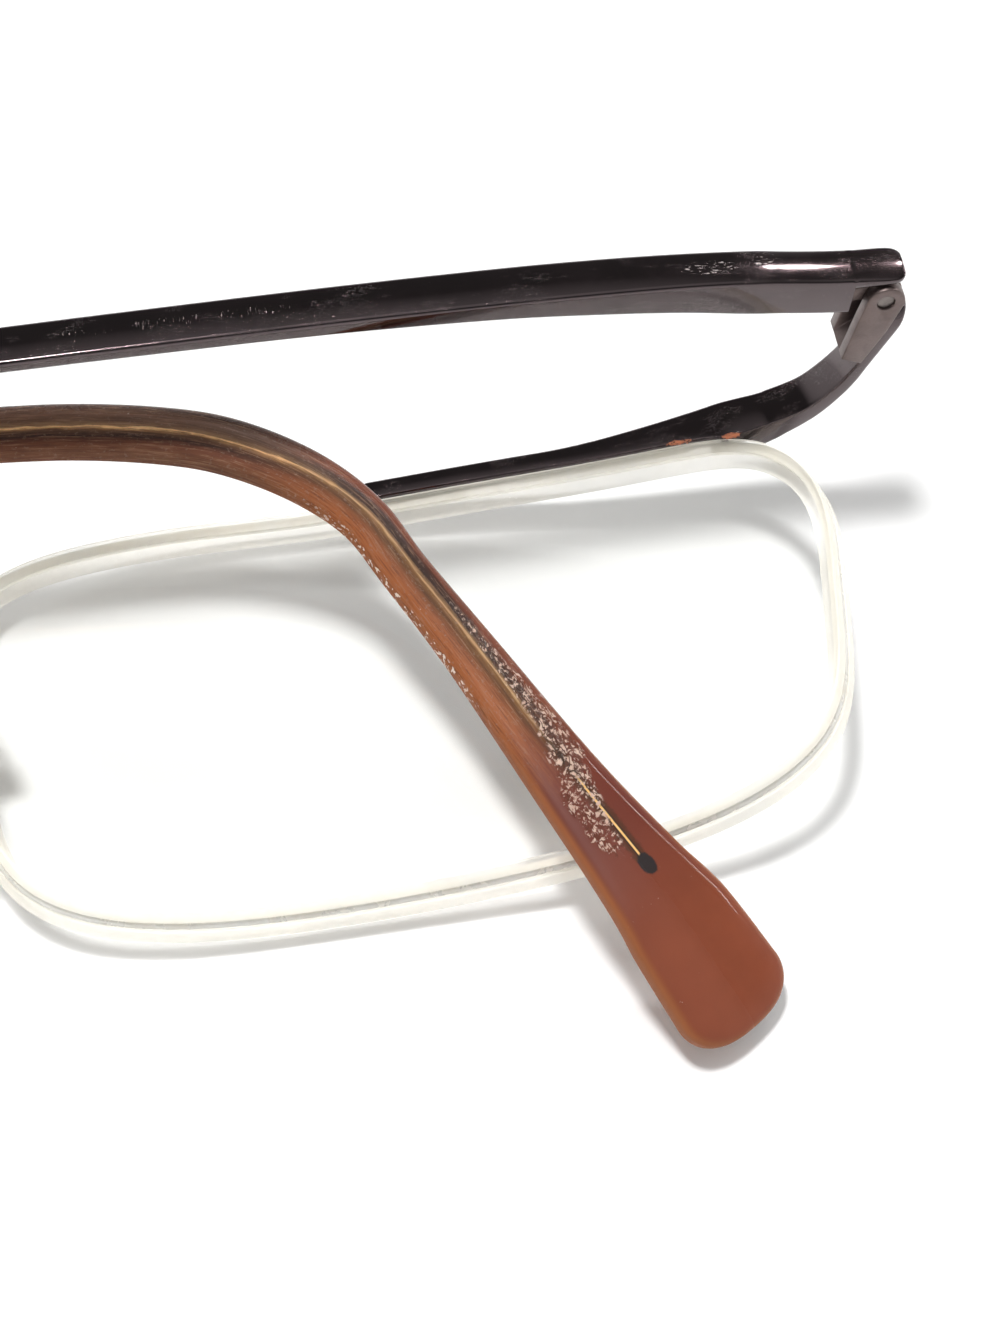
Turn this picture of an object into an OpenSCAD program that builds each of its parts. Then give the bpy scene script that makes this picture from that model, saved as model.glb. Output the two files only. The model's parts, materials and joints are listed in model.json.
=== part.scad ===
// Semi-rimless metal eyeglasses, folded and lying on the lens fronts.
// +X is the wearer's right, +Y is up as worn, +Z points to the wearer.
// Millimetres. The table is the plane z = 0.

/* [Lens] */
// Width of one lens
lens_w = 53.3; // [46:0.1:64]
// Height of the lens above its middle
lens_up = 14.6; // [12:0.1:18]
// Height of the lens below its middle
lens_down = 14.3; // [12:0.1:18]
// Thickness of the lens
lens_t = 2.7; // [2.2:0.1:3.6]
// Gap between the two lenses at mid height
bridge_gap = 18.4; // [15:0.1:24]
// Radius of the lens's front surface
base_r = 84.3; // [70:0.1:120]
// How far the crown of the front lies nasally of the lens's middle
crown_off = 7; // [3:0.1:9]
// Squareness of the upper outer corner
sq_up_out = 3.1; // [2.4:0.1:5]
// Squareness of the lower outer corner
sq_down_out = 4.4; // [2.4:0.1:5]
// Squareness of the upper inner corner
sq_up_in = 3.6; // [2.4:0.1:5]
// Squareness of the lower inner corner
sq_down_in = 4.4; // [2.4:0.1:5]
// Outward lean of the outer edge
lean_out = 0.14; // [0:0.01:0.2]
// Outward lean of the inner edge
lean_in = 0.12; // [0:0.01:0.2]
// Rise of the lens's middle line towards the temple
lens_rise = 0.012; // [0:0.002:0.02]
// How much the upper outer edge is flattened under the half rim
brow_flat = 0.9; // [0:0.1:1.2]
// Diameter of the nylon retaining cord
cord_d = 0.6; // [0.4:0.05:0.8]

/* [Half rim] */
// Width of the half rim at its free end
rim_w = 1.1; // [0.8:0.05:1.6]
// Height of the end piece, seen from behind
end_h = 2.6; // [2.2:0.1:3.4]
// Thickness of the end piece at the hinge
end_t = 0.8; // [0.6:0.05:1.2]
// Gap between a metal rim and the lens edge
rim_gap = 0.05; // [0.02:0.01:0.1]

/* [Hinge] */
// Radius of the hinge knuckles
knuckle_r = 1.15; // [1:0.05:1.3]
// Radius of the hinge screw's shank
screw_r = 0.5; // [0.4:0.02:0.6]
// Radial play of the screw in the knuckles
screw_play = 0.03; // [0.02:0.01:0.08]
// Height of the temple's knuckle
mid_knuckle = 1.4; // [1:0.05:1.6]
// Height of each front knuckle
side_knuckle = 0.8; // [0.6:0.05:1]
// How much further the left temple folds, in degrees
left_fold = 5.5; // [5.5:0.1:7]

/* [Temple] */
// Thickness of the temple at the hinge
temple_t = 2.8; // [2.4:0.1:3]
// Height of the temple
temple_h = 2.8; // [2.4:0.1:3.2]
// Radius of the core wire in the ear tip
wire_r = 0.62; // [0.5:0.02:0.7]
// Thickness of the ear tip
tip_t = 2; // [1.8:0.1:2.2]
// Width of the ear tip near its end
tip_w = 7.6; // [6:0.1:9]
// Width of the ear tip where it starts
tip_neck = 3.5; // [3.3:0.1:4]

/* [Nose pads] */
// Height of a nose pad
pad_h = 13; // [10:0.5:15]
// Width of a nose pad
pad_w = 7; // [6:0.5:9]
// Thickness of the silicone
pad_t = 1.9; // [1.4:0.1:2.4]
// Frontal angle of a nose pad, in degrees
pad_turn = 15; // [5:1:25]
// Splay angle of a nose pad, in degrees
pad_splay = 20; // [10:1:30]

/* [Hidden] */
RIGHT = 1;
LEFT = -1;

// The middle of the lens in the frame whose origin is under the folded outline's middle
lens_y = 5.4;
lens_x = bridge_gap / 2 + lens_w / 2;
// Angle step round the lens, shared by all that follows its edge
step = 5;
bevel = 0.15;
groove_w = cord_d + 0.1;
groove_depth = cord_d + 0.02;
groove_mid = lens_t / 2;

// The half rim covers the lens from the free end to the outer corner
rim_free = 90;
rim_corner = 45;
brow_from = 35;
brow_to = 105;
rim_front = 0.3;
rim_back = lens_t + 0.17;
rim_edge = 0.2;
rim_least = 0.9;
liner_r = 0.3;
liner_play = 0.03;
liner_out = 0.02;
// The liner stops this many degrees short of the half rim's ends, its channel a little less
liner_short = 10;
channel_low = 7;
channel_high = 4;
// The cord's two ends run under the half rim
cord_from = 85;
cord_to = 410;
// The nasal holders of the bridge
hold_from = 160;
hold_to = 180;
hold_w = 1.15;
arch_r = 0.85;

// Hinge axis, from the middle of the lens: out from its edge, up, and behind its edge
edge_depth = base_r - sqrt(base_r * base_r - pow(lens_w / 2 + crown_off, 2));
hinge_out = 3.65;
hinge_up = 12.9;
hinge_back = 12.4;
hinge = [lens_x + lens_w / 2 + hinge_out, hinge_up, edge_depth + hinge_back];
braze = 0.02;
slit = 0.05;
leaf_low = mid_knuckle / 2 + slit;
leaf_high = leaf_low + side_knuckle;
head_r = 0.85;
head_h = 0.4;
end_recess = 0.15;

// The straight part of the end piece, from its start to its end in x and z
end_from = [hinge[0] - 0.9, hinge[2] - 5.8];
end_to = [hinge[0] + 1.3, hinge[2] - 1.4];
end_run = norm(end_to - end_from);
end_dir = (end_to - end_from) / end_run;
end_in = [-end_dir[1], end_dir[0]];
end_y = hinge[1];
// The front leaf's foot and its web, along the straight part
foot_from = 0.5;
foot_to = 3.4;
web_to = 1.9;

// The temple's pocket for the knuckles and its slot for the tang
pocket_s = 1.9;
pocket_w = knuckle_r + 0.15;
tang_end = 5.5;
tang_low = -0.35;
tang_high = 0.65;

// Temple stations from the hinge axis: run, drop, rise of the outer face, thickness, height
shaft = [
    [-1, 0, 1.72, temple_t, temple_h - 1.1],
    [-0.4, 0, 1.8, temple_t, temple_h - 0.2],
    [2, 0, 2.08, temple_t, temple_h - 0.2],
    [4, 0, 2.38, temple_t, temple_h - 0.2],
    [8, 0, 3.05, temple_t, temple_h - 0.15],
    [12, 0, 3.5, 2.4, temple_h - 0.1],
    [17, 0, 3.85, 1.95, temple_h],
    [23, 0, 4.1, 1.5, temple_h + 0.05],
    [33, 0, 4.3, 1.15, temple_h + 0.05],
    [44, 0, 4.35, 1, temple_h + 0.05],
    [54, 0, 4.35, 0.95, temple_h],
    [64, 0, 4.5, 0.9, temple_h - 0.15],
    [74, 0, 4.7, 0.9, temple_h - 0.3],
    [80, 0, 4.7, 0.9, temple_h - 0.5]
];
// Middle of the ear tip from the hinge axis: run, drop, rise, width
tip_line = [
    [76, 0, 4.25, tip_neck],
    [84, 0, 4.1, tip_neck + 0.1],
    [90, -0.4, 3.6, tip_neck + 0.2],
    [94, -1.3, 3.1, tip_neck + 0.2],
    [98, -3.2, 2.3, tip_neck],
    [101, -5.9, 1.6, tip_neck - 0.4],
    [103, -9.5, 0.9, tip_neck - 0.55],
    [106, -15.1, 0.2, tip_neck - 0.2],
    [110.2, -23.8, -0.6, tip_w * 0.58],
    [113.4, -29.5, -1.6, tip_w * 0.75],
    [115.4, -32.3, -3, tip_w * 0.92],
    [117.9, -35.8, -5.4, tip_w]
];
// The wire's end, in stations of the tip's line
wire_stations = 9;
wire_play = 0.03;
tip_round = 2.4;

// Pivot of a nose pad, from the middle of the lens
pad_pivot = [bridge_gap / 2 + 1.2, -0.8, 8.8];
arm_r = 0.4;
pad_box = [2, 2.2, 1.9];
pad_slot = 0.4;
pad_tab = 0.35;
pad_tab_r = 0.7;
pad_tab_gap = 0.08;
pad_screw_r = 0.28;
pad_play = 0.04;
pad_reach = 1.8;
pad_plate = 0.5;

// --- points and curves -------------------------------------------------------

function unit(v) = v / norm(v);

function catmull(a, b, c, d, u) =
    0.5 * (2 * b + (c - a) * u + (2 * a - 5 * b + 4 * c - d) * u * u
           + (3 * b - a - 3 * c + d) * u * u * u);

// A smooth curve through the points, with so many steps from one to the next
function smooth(pts, steps) = let (last = len(pts) - 1) [
    for (i = [0:last - 1], k = [0:steps - 1])
        catmull(pts[max(i - 1, 0)], pts[i], pts[i + 1], pts[min(i + 2, last)], k / steps),
    pts[last]
];

// How much the outline is flattened at an angle, over the half rim's span and a little more
function flattened(t) =
    let (turn = t - 360 * floor(t / 360),
         way = min(max((turn - brow_from) / (brow_to - brow_from), 0), 1))
    brow_flat * pow(sin(180 * way), 2);

// Lens outline at an angle, from the lens's middle, with +x outwards
function lens_xy(t) =
    let (c = cos(t), s = sin(t),
         sq = s > 0 ? (c > 0 ? sq_up_out : sq_up_in) : (c > 0 ? sq_down_out : sq_down_in),
         x = lens_w / 2 * sign(c) * pow(abs(c), 2 / sq),
         y = (s > 0 ? lens_up : lens_down) * sign(s) * pow(abs(s), 2 / sq),
         lean = c > 0 ? lean_out : -lean_in)
    [x + lean * y * abs(x) / (lens_w / 2), y + lens_rise * x - flattened(t)];

function lens_normal(t) =
    let (d = lens_xy(t + 0.5) - lens_xy(t - 0.5)) unit([d[1], -d[0]]);

// A point near the lens edge: so far out from the edge and so deep behind the front
function edge_point(t, out, deep, scale = 1) =
    let (p = lens_xy(t) * scale + lens_normal(t) * out,
         across = p[0] + crown_off,
         front = [p[0], p[1], base_r - sqrt(base_r * base_r - across * across - p[1] * p[1])],
         centre = [-crown_off, 0, base_r])
    front + (centre - front) * deep / base_r + [lens_x, 0, 0];

// --- solids ------------------------------------------------------------------

// A closed skin over rings of points that turn right-handed about the way they run
module loft(rings) {
    n = len(rings[0]);
    m = len(rings);
    pts = [for (r = rings) for (p = r) p];
    mid_first = [for (k = [0:2]) [for (p = rings[0]) 1] * [for (p = rings[0]) p[k]] / n];
    mid_last = [for (k = [0:2]) [for (p = rings[m - 1]) 1] * [for (p = rings[m - 1]) p[k]] / n];
    polyhedron(
        points = concat(pts, [mid_first, mid_last]),
        faces = [
            for (i = [0:n - 1]) [n * m, i, (i + 1) % n],
            for (i = [0:n - 1]) [n * m + 1, n * (m - 1) + (i + 1) % n, n * (m - 1) + i],
            for (j = [0:m - 2], i = [0:n - 1])
                [n * j + i, n * (j + 1) + i, n * (j + 1) + (i + 1) % n],
            for (j = [0:m - 2], i = [0:n - 1])
                [n * j + i, n * (j + 1) + (i + 1) % n, n * j + (i + 1) % n]
        ]);
}

// Rings of a closed section carried along a line of points, kept upright to a direction
function carried(line, section, upright = [0, 0, 1]) = let (last = len(line) - 1) [
    for (i = [0:last])
        let (p = [line[i][0], line[i][1], line[i][2]],
             a = line[max(i - 1, 0)],
             b = line[min(i + 1, last)],
             along = unit([b[0] - a[0], b[1] - a[1], b[2] - a[2]]),
             up = unit(upright - along * (along * upright)),
             side = cross(up, along))
        [for (q = section(line[i])) p + side * q[0] + up * q[1]]
];

function circle_section(r, n) =
    [for (k = [0:n - 1]) r * [cos(90 + 360 * k / n), sin(90 + 360 * k / n)]];

// Places what is built for the right side
module beside(side) {
    translate([0, lens_y, 0])
        mirror([side == LEFT ? 1 : 0, 0, 0])
            children();
}

// Places what is built along +X from the hinge axis
module on_hinge(side) {
    translate([0, lens_y, 0])
        mirror([side == RIGHT ? 1 : 0, 0, 0])
            translate([-hinge[0], hinge[1], hinge[2]])
                rotate([0, side == LEFT ? left_fold : 0, 0])
                    children();
}

// Places what is built round a nose pad's pivot
module on_pad(side) {
    beside(side)
        translate(pad_pivot)
            rotate([0, 0, pad_turn])
                children();
}

// A pin or a bore along Y, from the hinge axis
module along_y(r, low, high, sides = 48) {
    translate([0, high, 0])
        rotate([90, 0, 0])
            cylinder(r = r, h = high - low, $fn = sides);
}

// --- lens, cord and liner ----------------------------------------------------

module lens(side) {
    low = groove_mid - groove_w / 2;
    high = groove_mid + groove_w / 2;
    // scale of the outline, distance outwards, depth behind the front
    profile = [
        [0.12, 0, 0], [0.4, 0, 0], [0.7, 0, 0], [0.9, 0, 0], [1, -bevel, 0], [1, 0, bevel],
        [1, 0, low], [1, -groove_depth, low], [1, -groove_depth, high], [1, 0, high],
        [1, 0, lens_t - bevel], [1, -bevel, lens_t],
        [0.9, 0, lens_t], [0.7, 0, lens_t], [0.4, 0, lens_t], [0.12, 0, lens_t]
    ];
    color([0.93, 0.94, 0.93, 0.35])
        beside(side)
            loft([for (q = profile) [for (t = [0:step:359]) edge_point(t, q[1], q[2], q[0])]]);
}

// A round cord along the lens edge
module edge_cord(from, to, r, out) {
    loft([
        for (t = [from:step:to])
            [for (k = [0:7]) edge_point(t, out + r * cos(45 * k), groove_mid - r * sin(45 * k))]
    ]);
}

module retaining_cord(side) {
    color([0.9, 0.9, 0.88])
        beside(side)
            edge_cord(cord_from, cord_to, cord_d / 2, -cord_d / 2);
}

module rim_liner(side) {
    color([0.85, 0.83, 0.75])
        beside(side)
            edge_cord(rim_corner + liner_short, rim_free - liner_short, liner_r, liner_out);
}

// --- half rim and end piece --------------------------------------------------

// Upper edge of the half rim at so far along X
function rim_top(x) =
    let (u = min(max((x - lens_x) / (end_from[0] - 6.8 - lens_x), 0), 1),
         free = edge_point(rim_free, rim_gap, rim_back)[1] + rim_w,
         level = end_y + end_h / 2)
    free + (level - free) * sin(90 * u);

// A rounded box section from its two lower corners up to a height
function band_ring(front, back, high) =
    let (e = min(rim_edge, (high - front[1]) / 3, norm(back - front) / 3),
         way = unit(back - front) * e,
         near = front + way,
         far = back - way)
    [
        [front[0], front[1] + e, front[2]],
        [front[0], high - e, front[2]],
        [near[0], high, near[2]],
        [far[0], high, far[2]],
        [back[0], high - e, back[2]],
        [back[0], back[1] + e, back[2]],
        far,
        near
    ];

// The half rim's ring over the lens edge, squeezed and moved on at its free end
function rim_ring(t, squeeze = 1, onward = 0) =
    let (front = edge_point(t, rim_gap, rim_front),
         back = edge_point(t, rim_gap, rim_back),
         ring = band_ring(front, back, max(rim_top(front[0]), front[1] + rim_least)),
         mid = (ring[0] + ring[4]) / 2)
    [for (p = ring)
        [p[0] - onward, mid[1] + (p[1] - mid[1]) * squeeze, mid[2] + (p[2] - mid[2]) * squeeze]];

// The end piece's stations: x and z of its middle, thickness
function end_stations() = concat(
    smooth([
        [end_from[0] - 5.3, end_from[1] - 5.1, 1.8],
        [end_from[0] - 2.8, end_from[1] - 3.7, 1.2],
        [end_from[0] - 0.95, end_from[1] - 1.65, 0.95],
        [end_from[0], end_from[1], end_t]
    ], 3),
    [for (run = [foot_from, end_run - end_h / 2]) let (p = end_from + end_dir * run) [p[0], p[1], end_t]]
);

// The end piece's ring round a point in x and z, with half its thickness as a vector
function end_ring(mid, half, half_h) =
    let (front = mid - half, back = mid + half)
    band_ring([front[0], end_y - half_h, front[1]], [back[0], end_y - half_h, back[1]],
              end_y + half_h);

module half_rim(side) {
    stations = end_stations();
    last = len(stations) - 1;
    half_h = end_h / 2;
    free_end = [rim_ring(rim_free, 0.35, 0.55), rim_ring(rim_free, 0.8, 0.35)];
    over_lens = [for (t = [rim_free:-step:rim_corner]) rim_ring(t)];
    bend = [
        for (i = [0:last])
            let (a = stations[max(i - 1, 0)],
                 b = stations[min(i + 1, last)],
                 along = i > last - 2 ? end_dir : unit([b[0] - a[0], b[1] - a[1]]))
            end_ring([stations[i][0], stations[i][1]],
                     [-along[1], along[0]] * stations[i][2] / 2, half_h)
    ];
    round_end = [
        for (a = [25, 50, 72, 84])
            end_ring(end_from + end_dir * (end_run - half_h * (1 - sin(a))),
                     end_in * end_t / 2, half_h * cos(a))
    ];
    color([0.16, 0.1, 0.1])
        beside(side)
            difference() {
                loft(concat(free_end, over_lens, bend, round_end));
                edge_cord(rim_corner + channel_low, rim_free - channel_high,
                          liner_r + liner_play, liner_out);
            }
}

// --- hinge -------------------------------------------------------------------

// A point on the end piece's inner face, from the hinge axis
function seat_point(run) =
    end_from + end_dir * run + end_in * (end_t / 2 + braze) - [hinge[0], hinge[2]];

module leaf_plate(outline, low, high) {
    translate([0, high, 0])
        rotate([90, 0, 0])
            linear_extrude(height = high - low)
                polygon(outline);
}

module front_leaf(side) {
    first = seat_point(foot_from);
    second = seat_point(foot_to);
    corner = first + [-1.25, 0.6];
    arm = [
        first, second, -knuckle_r * end_in, knuckle_r * unit([-0.95, 0.31]),
        [-1.55, -1.35], corner
    ];
    web = [
        first, seat_point(web_to), seat_point(web_to) + end_in * 0.7, corner
    ];
    color([0.33, 0.26, 0.25])
        beside(side)
            translate(hinge)
                difference() {
                    union() {
                        for (low = [-leaf_high, leaf_low]) {
                            leaf_plate(arm, low, low + side_knuckle);
                            along_y(knuckle_r, low, low + side_knuckle);
                        }
                        leaf_plate(web, -leaf_high, leaf_high);
                    }
                    along_y(screw_r + screw_play, -leaf_high - 1, leaf_high + 1);
                }
}

module hinge_screw(side) {
    color([0.55, 0.53, 0.5])
        beside(side)
            translate(hinge)
                difference() {
                    union() {
                        along_y(screw_r, end_recess - leaf_high, leaf_high + head_h / 2);
                        along_y(head_r, leaf_high, leaf_high + head_h);
                    }
                    translate([-head_r - 1, leaf_high + head_h / 2, -0.12])
                        cube([2 * head_r + 2, head_h, 0.24]);
                }
}

module temple_leaf(side) {
    color([0.33, 0.26, 0.25])
        on_hinge(side)
            difference() {
                union() {
                    along_y(knuckle_r, -mid_knuckle / 2, mid_knuckle / 2);
                    translate([0, -mid_knuckle / 2, tang_low])
                        cube([tang_end, mid_knuckle, tang_high - tang_low]);
                }
                along_y(screw_r + 2 * screw_play, -mid_knuckle, mid_knuckle);
            }
}

// --- temple and ear tip ------------------------------------------------------

// The temple's section: flat inside, with a low ridge along its outer face
function temple_section(thick, high) =
    let (h = high / 2, t = thick / 2, e = min(0.25, t / 2))
    [
        [0, t], [e - h, t - 0.08], [-h, t - e], [-h, e - t], [e - h, -t],
        [h - e, -t], [h, e - t], [h, t - e], [h - e, t - 0.08]
    ];

// The core wire's stations: run, drop, rise, radius
wire_line = smooth([
    for (i = [1:wire_stations]) [tip_line[i][0], tip_line[i][1], tip_line[i][2]]
], 3);
shaft_line = [for (q = smooth(shaft, 3)) [q[0], q[1], q[2] - q[3] / 2, q[3], q[4]]];

// The temple's metal: a flat shaft that turns into a round wire
module temple_metal(grow = 0) {
    sides = len(temple_section(1, 1));
    loft(concat(
        carried(shaft_line, function (q) temple_section(q[3] + 2 * grow, q[4] + 2 * grow)),
        carried(wire_line, function (q) circle_section(wire_r + grow, sides))
    ));
}

module temple(side) {
    tall = 2 * temple_h;
    color([0.13, 0.08, 0.08])
        on_hinge(side)
            difference() {
                temple_metal();
                translate([-2, -tall / 2, pocket_w - tall])
                    cube([2 + pocket_s, tall, tall]);
                translate([0, -mid_knuckle / 2 - braze, tang_low - braze])
                    cube([tang_end + braze, mid_knuckle + 2 * braze, tang_high - tang_low + 2 * braze]);
            }
}

// The ear tip's section: a flattened oval, squarer where it is wider
function tip_section(wide, thick) = let (power = 0.8 - 0.03 * wide) [
    for (k = [0:15])
        let (c = cos(22.5 * k), s = sin(22.5 * k))
        [wide / 2 * sign(c) * pow(abs(c), power), thick / 2 * sign(s) * pow(abs(s), power)]
];

module ear_tip(side) {
    body = smooth(tip_line, 3);
    last = len(body) - 1;
    stop = first3(body[last]);
    way = unit(stop - first3(body[last - 1]));
    round_end = [
        for (a = [30, 55, 75, 88])
            let (p = stop + way * tip_round * sin(a), k = pow(cos(a), 0.7))
            [p[0], p[1], p[2], tip_w * k, tip_t * (0.25 + 0.75 * k)]
    ];
    color([0.5, 0.24, 0.16])
        on_hinge(side)
            difference() {
                loft(carried(
                    concat([for (q = body) concat(q, [tip_t])], round_end),
                    function (q) tip_section(q[3], q[4])
                ));
                temple_metal(wire_play);
            }
}

function first3(q) = [q[0], q[1], q[2]];

// --- bridge and nose pads ----------------------------------------------------

// The bridge's nasal holder, round the inner edge of the right lens
module nasal_holder() {
    low = 0.5;
    high = lens_t - 0.3;
    b = rim_edge;
    o = rim_gap;
    loft([
        for (t = [hold_from:step:hold_to])
            let (w = o + hold_w * (t == hold_from || t == hold_to ? 0.6 : 1))
            [
                edge_point(t, w, high - b), edge_point(t, w, low + b),
                edge_point(t, w - b, low), edge_point(t, o + b, low),
                edge_point(t, o, low + b), edge_point(t, o, high - b),
                edge_point(t, o + b, high), edge_point(t, w - b, high)
            ]
    ]);
}

module bridge() {
    arch_end = edge_point(hold_from + step, hold_w * 0.6, groove_mid);
    half = [
        arch_end,
        arch_end + [-1.9, 1, -0.3],
        [arch_end[0] * 0.4, arch_end[1] + 2, arch_end[2] - 0.9]
    ];
    arch = smooth(concat(
        half, [[0, arch_end[1] + 2.3, arch_end[2] - 1.1]],
        [for (i = [2:-1:0]) [-half[i][0], half[i][1], half[i][2]]]
    ), 3);
    color([0.16, 0.1, 0.1])
        translate([0, lens_y, 0])
            union() {
                nasal_holder();
                mirror([1, 0, 0]) nasal_holder();
                loft(carried(arch, function (q) circle_section(arch_r, 10)));
            }
}

module pad_arm(side) {
    root = edge_point(hold_from + 2 * step, hold_w * 0.55 + rim_gap, lens_t - 0.25);
    box_top = pad_pivot + [0, pad_box[1] / 2, 0];
    line = smooth([
        root, root + [0, 0, 1.6], root + [0.4, -1.2, 3],
        box_top + [-0.3, 1.8, -0.1], box_top + [0, -0.2, 0]
    ], 4);
    color([0.6, 0.56, 0.5])
        union() {
            beside(side)
                loft(carried(line, function (q) circle_section(arm_r, 8), [1, 0, 0]));
            on_pad(side)
                difference() {
                    translate(-pad_box / 2)
                        cube(pad_box);
                    translate([-pad_box[0], -pad_box[1], -pad_slot])
                        cube([pad_box[0] + pad_tab_r + pad_tab_gap, 2 * pad_box[1], 2 * pad_slot]);
                    cylinder(r = pad_screw_r + pad_play, h = 2 * pad_box[2], center = true, $fn = 32);
                }
        }
}

module pad_screw(side) {
    half = pad_box[2] / 2;
    color([0.6, 0.58, 0.55])
        on_pad(side)
            difference() {
                union() {
                    translate([0, 0, -half])
                        cylinder(r = pad_screw_r, h = 2 * half + 0.1, $fn = 32);
                    translate([0, 0, half])
                        cylinder(r = 2 * pad_screw_r, h = 0.3, $fn = 32);
                }
                translate([-1, -0.06, half + 0.15])
                    cube([2, 0.12, 1]);
            }
}

// Turns a pad's plate and silicone about the end of its tab
module splayed() {
    translate([-pad_reach, 0, 0])
        rotate([0, pad_splay, 0])
            children();
}

module pad_core(side) {
    color([0.85, 0.84, 0.8])
        on_pad(side)
            difference() {
                union() {
                    cylinder(r = pad_tab_r, h = 2 * pad_tab, center = true, $fn = 32);
                    translate([-pad_reach - 0.2, -pad_tab_r, -pad_tab])
                        cube([pad_reach + 0.2, 2 * pad_tab_r, 2 * pad_tab]);
                    splayed()
                        translate([-pad_plate, -pad_h * 0.22, -pad_w * 0.22])
                            cube([pad_plate, pad_h * 0.44, pad_w * 0.44]);
                }
                cylinder(r = pad_screw_r + pad_play, h = 4 * pad_tab, center = true, $fn = 32);
            }
}

module nose_pad(side) {
    // share of the outline, distance from the plate
    profile = [[0.86, 0], [0.97, 0.25], [1, 0.5], [0.95, 0.75], [0.8, 0.93], [0.5, 1]];
    color([0.9, 0.88, 0.82, 0.7])
        on_pad(side)
            splayed()
                loft([
                    for (q = profile)
                        [for (a = [0:15:359])
                            [-pad_plate - rim_gap - pad_t * q[1],
                             -pad_h / 2 * q[0] * cos(a),
                             pad_w / 2 * q[0] * sin(a) * (1 + 0.18 * cos(a))]]
                ]);
}

bridge();
lens(RIGHT);  // right_lens
lens(LEFT);  // left_lens
retaining_cord(RIGHT);  // right_retaining_cord
retaining_cord(LEFT);  // left_retaining_cord
rim_liner(RIGHT);  // right_rim_liner
rim_liner(LEFT);  // left_rim_liner
half_rim(RIGHT);  // right_half_rim
half_rim(LEFT);  // left_half_rim
front_leaf(RIGHT);  // right_front_leaf
front_leaf(LEFT);  // left_front_leaf
hinge_screw(RIGHT);  // right_hinge_screw
hinge_screw(LEFT);  // left_hinge_screw
temple_leaf(RIGHT);  // right_temple_leaf
temple_leaf(LEFT);  // left_temple_leaf
temple(RIGHT);  // right_temple
temple(LEFT);  // left_temple
ear_tip(RIGHT);  // right_ear_tip
ear_tip(LEFT);  // left_ear_tip
pad_arm(RIGHT);  // right_pad_arm
pad_arm(LEFT);  // left_pad_arm
pad_core(RIGHT);  // right_pad_core
pad_core(LEFT);  // left_pad_core
nose_pad(RIGHT);  // right_nose_pad
nose_pad(LEFT);  // left_nose_pad
pad_screw(RIGHT);  // right_pad_screw
pad_screw(LEFT);  // left_pad_screw
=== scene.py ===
"""Folded semi-rimless eyeglasses: detailed pieces, finishes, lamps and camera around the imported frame."""

import json
import logging
import math
from dataclasses import dataclass
from enum import Enum
from typing import Callable, Iterable, Sequence

import bmesh
import bpy
from mathutils import Matrix, Quaternion, Vector, noise


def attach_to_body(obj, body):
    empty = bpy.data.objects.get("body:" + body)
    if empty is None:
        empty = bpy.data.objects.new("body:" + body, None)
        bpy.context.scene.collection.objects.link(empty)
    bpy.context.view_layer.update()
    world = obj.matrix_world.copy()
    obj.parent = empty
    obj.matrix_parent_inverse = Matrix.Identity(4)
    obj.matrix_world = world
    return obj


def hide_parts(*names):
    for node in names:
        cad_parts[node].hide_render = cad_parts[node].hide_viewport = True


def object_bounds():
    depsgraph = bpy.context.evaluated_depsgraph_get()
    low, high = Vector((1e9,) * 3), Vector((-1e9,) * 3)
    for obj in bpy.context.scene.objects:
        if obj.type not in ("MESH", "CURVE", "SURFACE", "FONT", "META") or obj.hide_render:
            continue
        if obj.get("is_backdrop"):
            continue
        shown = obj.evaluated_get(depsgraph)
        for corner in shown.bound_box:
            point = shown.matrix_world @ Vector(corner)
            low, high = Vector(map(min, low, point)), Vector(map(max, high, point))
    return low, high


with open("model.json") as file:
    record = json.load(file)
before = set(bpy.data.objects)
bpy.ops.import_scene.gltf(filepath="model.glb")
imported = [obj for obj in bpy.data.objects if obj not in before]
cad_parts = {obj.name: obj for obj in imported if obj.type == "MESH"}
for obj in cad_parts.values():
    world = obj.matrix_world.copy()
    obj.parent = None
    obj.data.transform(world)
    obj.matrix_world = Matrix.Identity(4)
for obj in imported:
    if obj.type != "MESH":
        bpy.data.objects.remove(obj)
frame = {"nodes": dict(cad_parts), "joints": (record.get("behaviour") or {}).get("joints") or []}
log = logging.getLogger("eyeglasses")

MM = 0.001
SHARP_ANGLE = math.radians(38)
BLACK = (0.0, 0.0, 0.0)
UP = Vector((0.0, 0.0, 1.0))
Ring = list[Vector]
Numbers = tuple[float, ...]
Material = bpy.types.Material
Node = bpy.types.Node
Object = bpy.types.Object
Socket = bpy.types.NodeSocket


class Side(Enum):
    """The wearer's side. The value is the sign of X."""

    RIGHT = 1
    LEFT = -1

    def node(self, part: str) -> str:
        """The name of this side's CAD node for a part."""
        return f"{self.name.lower()}_{part}"


class End(Enum):
    """How the end of a skin is closed."""

    FLAT = "flat"
    POINT = "point"


# --- curves -----------------------------------------------------------------


def smooth(points: Sequence[Sequence[float]], steps: int) -> list[Vector]:
    """A Catmull-Rom curve through points of any dimension.

    Args:
        points: The points that the curve passes through.
        steps: How many steps it takes from one point to the next.

    Returns:
        The curve's points, the last one included.
    """
    pts = [Vector(p) for p in points]
    last = len(pts) - 1
    out = []
    for i in range(last):
        a, b, c, d = pts[max(i - 1, 0)], pts[i], pts[i + 1], pts[min(i + 2, last)]
        for k in range(steps):
            u = k / steps
            bend, twist = 2 * a - 5 * b + 4 * c - d, 3 * b - a - 3 * c + d
            out.append(0.5 * (2 * b + (c - a) * u + bend * u * u + twist * u**3))
    return out + [pts[last]]


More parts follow.
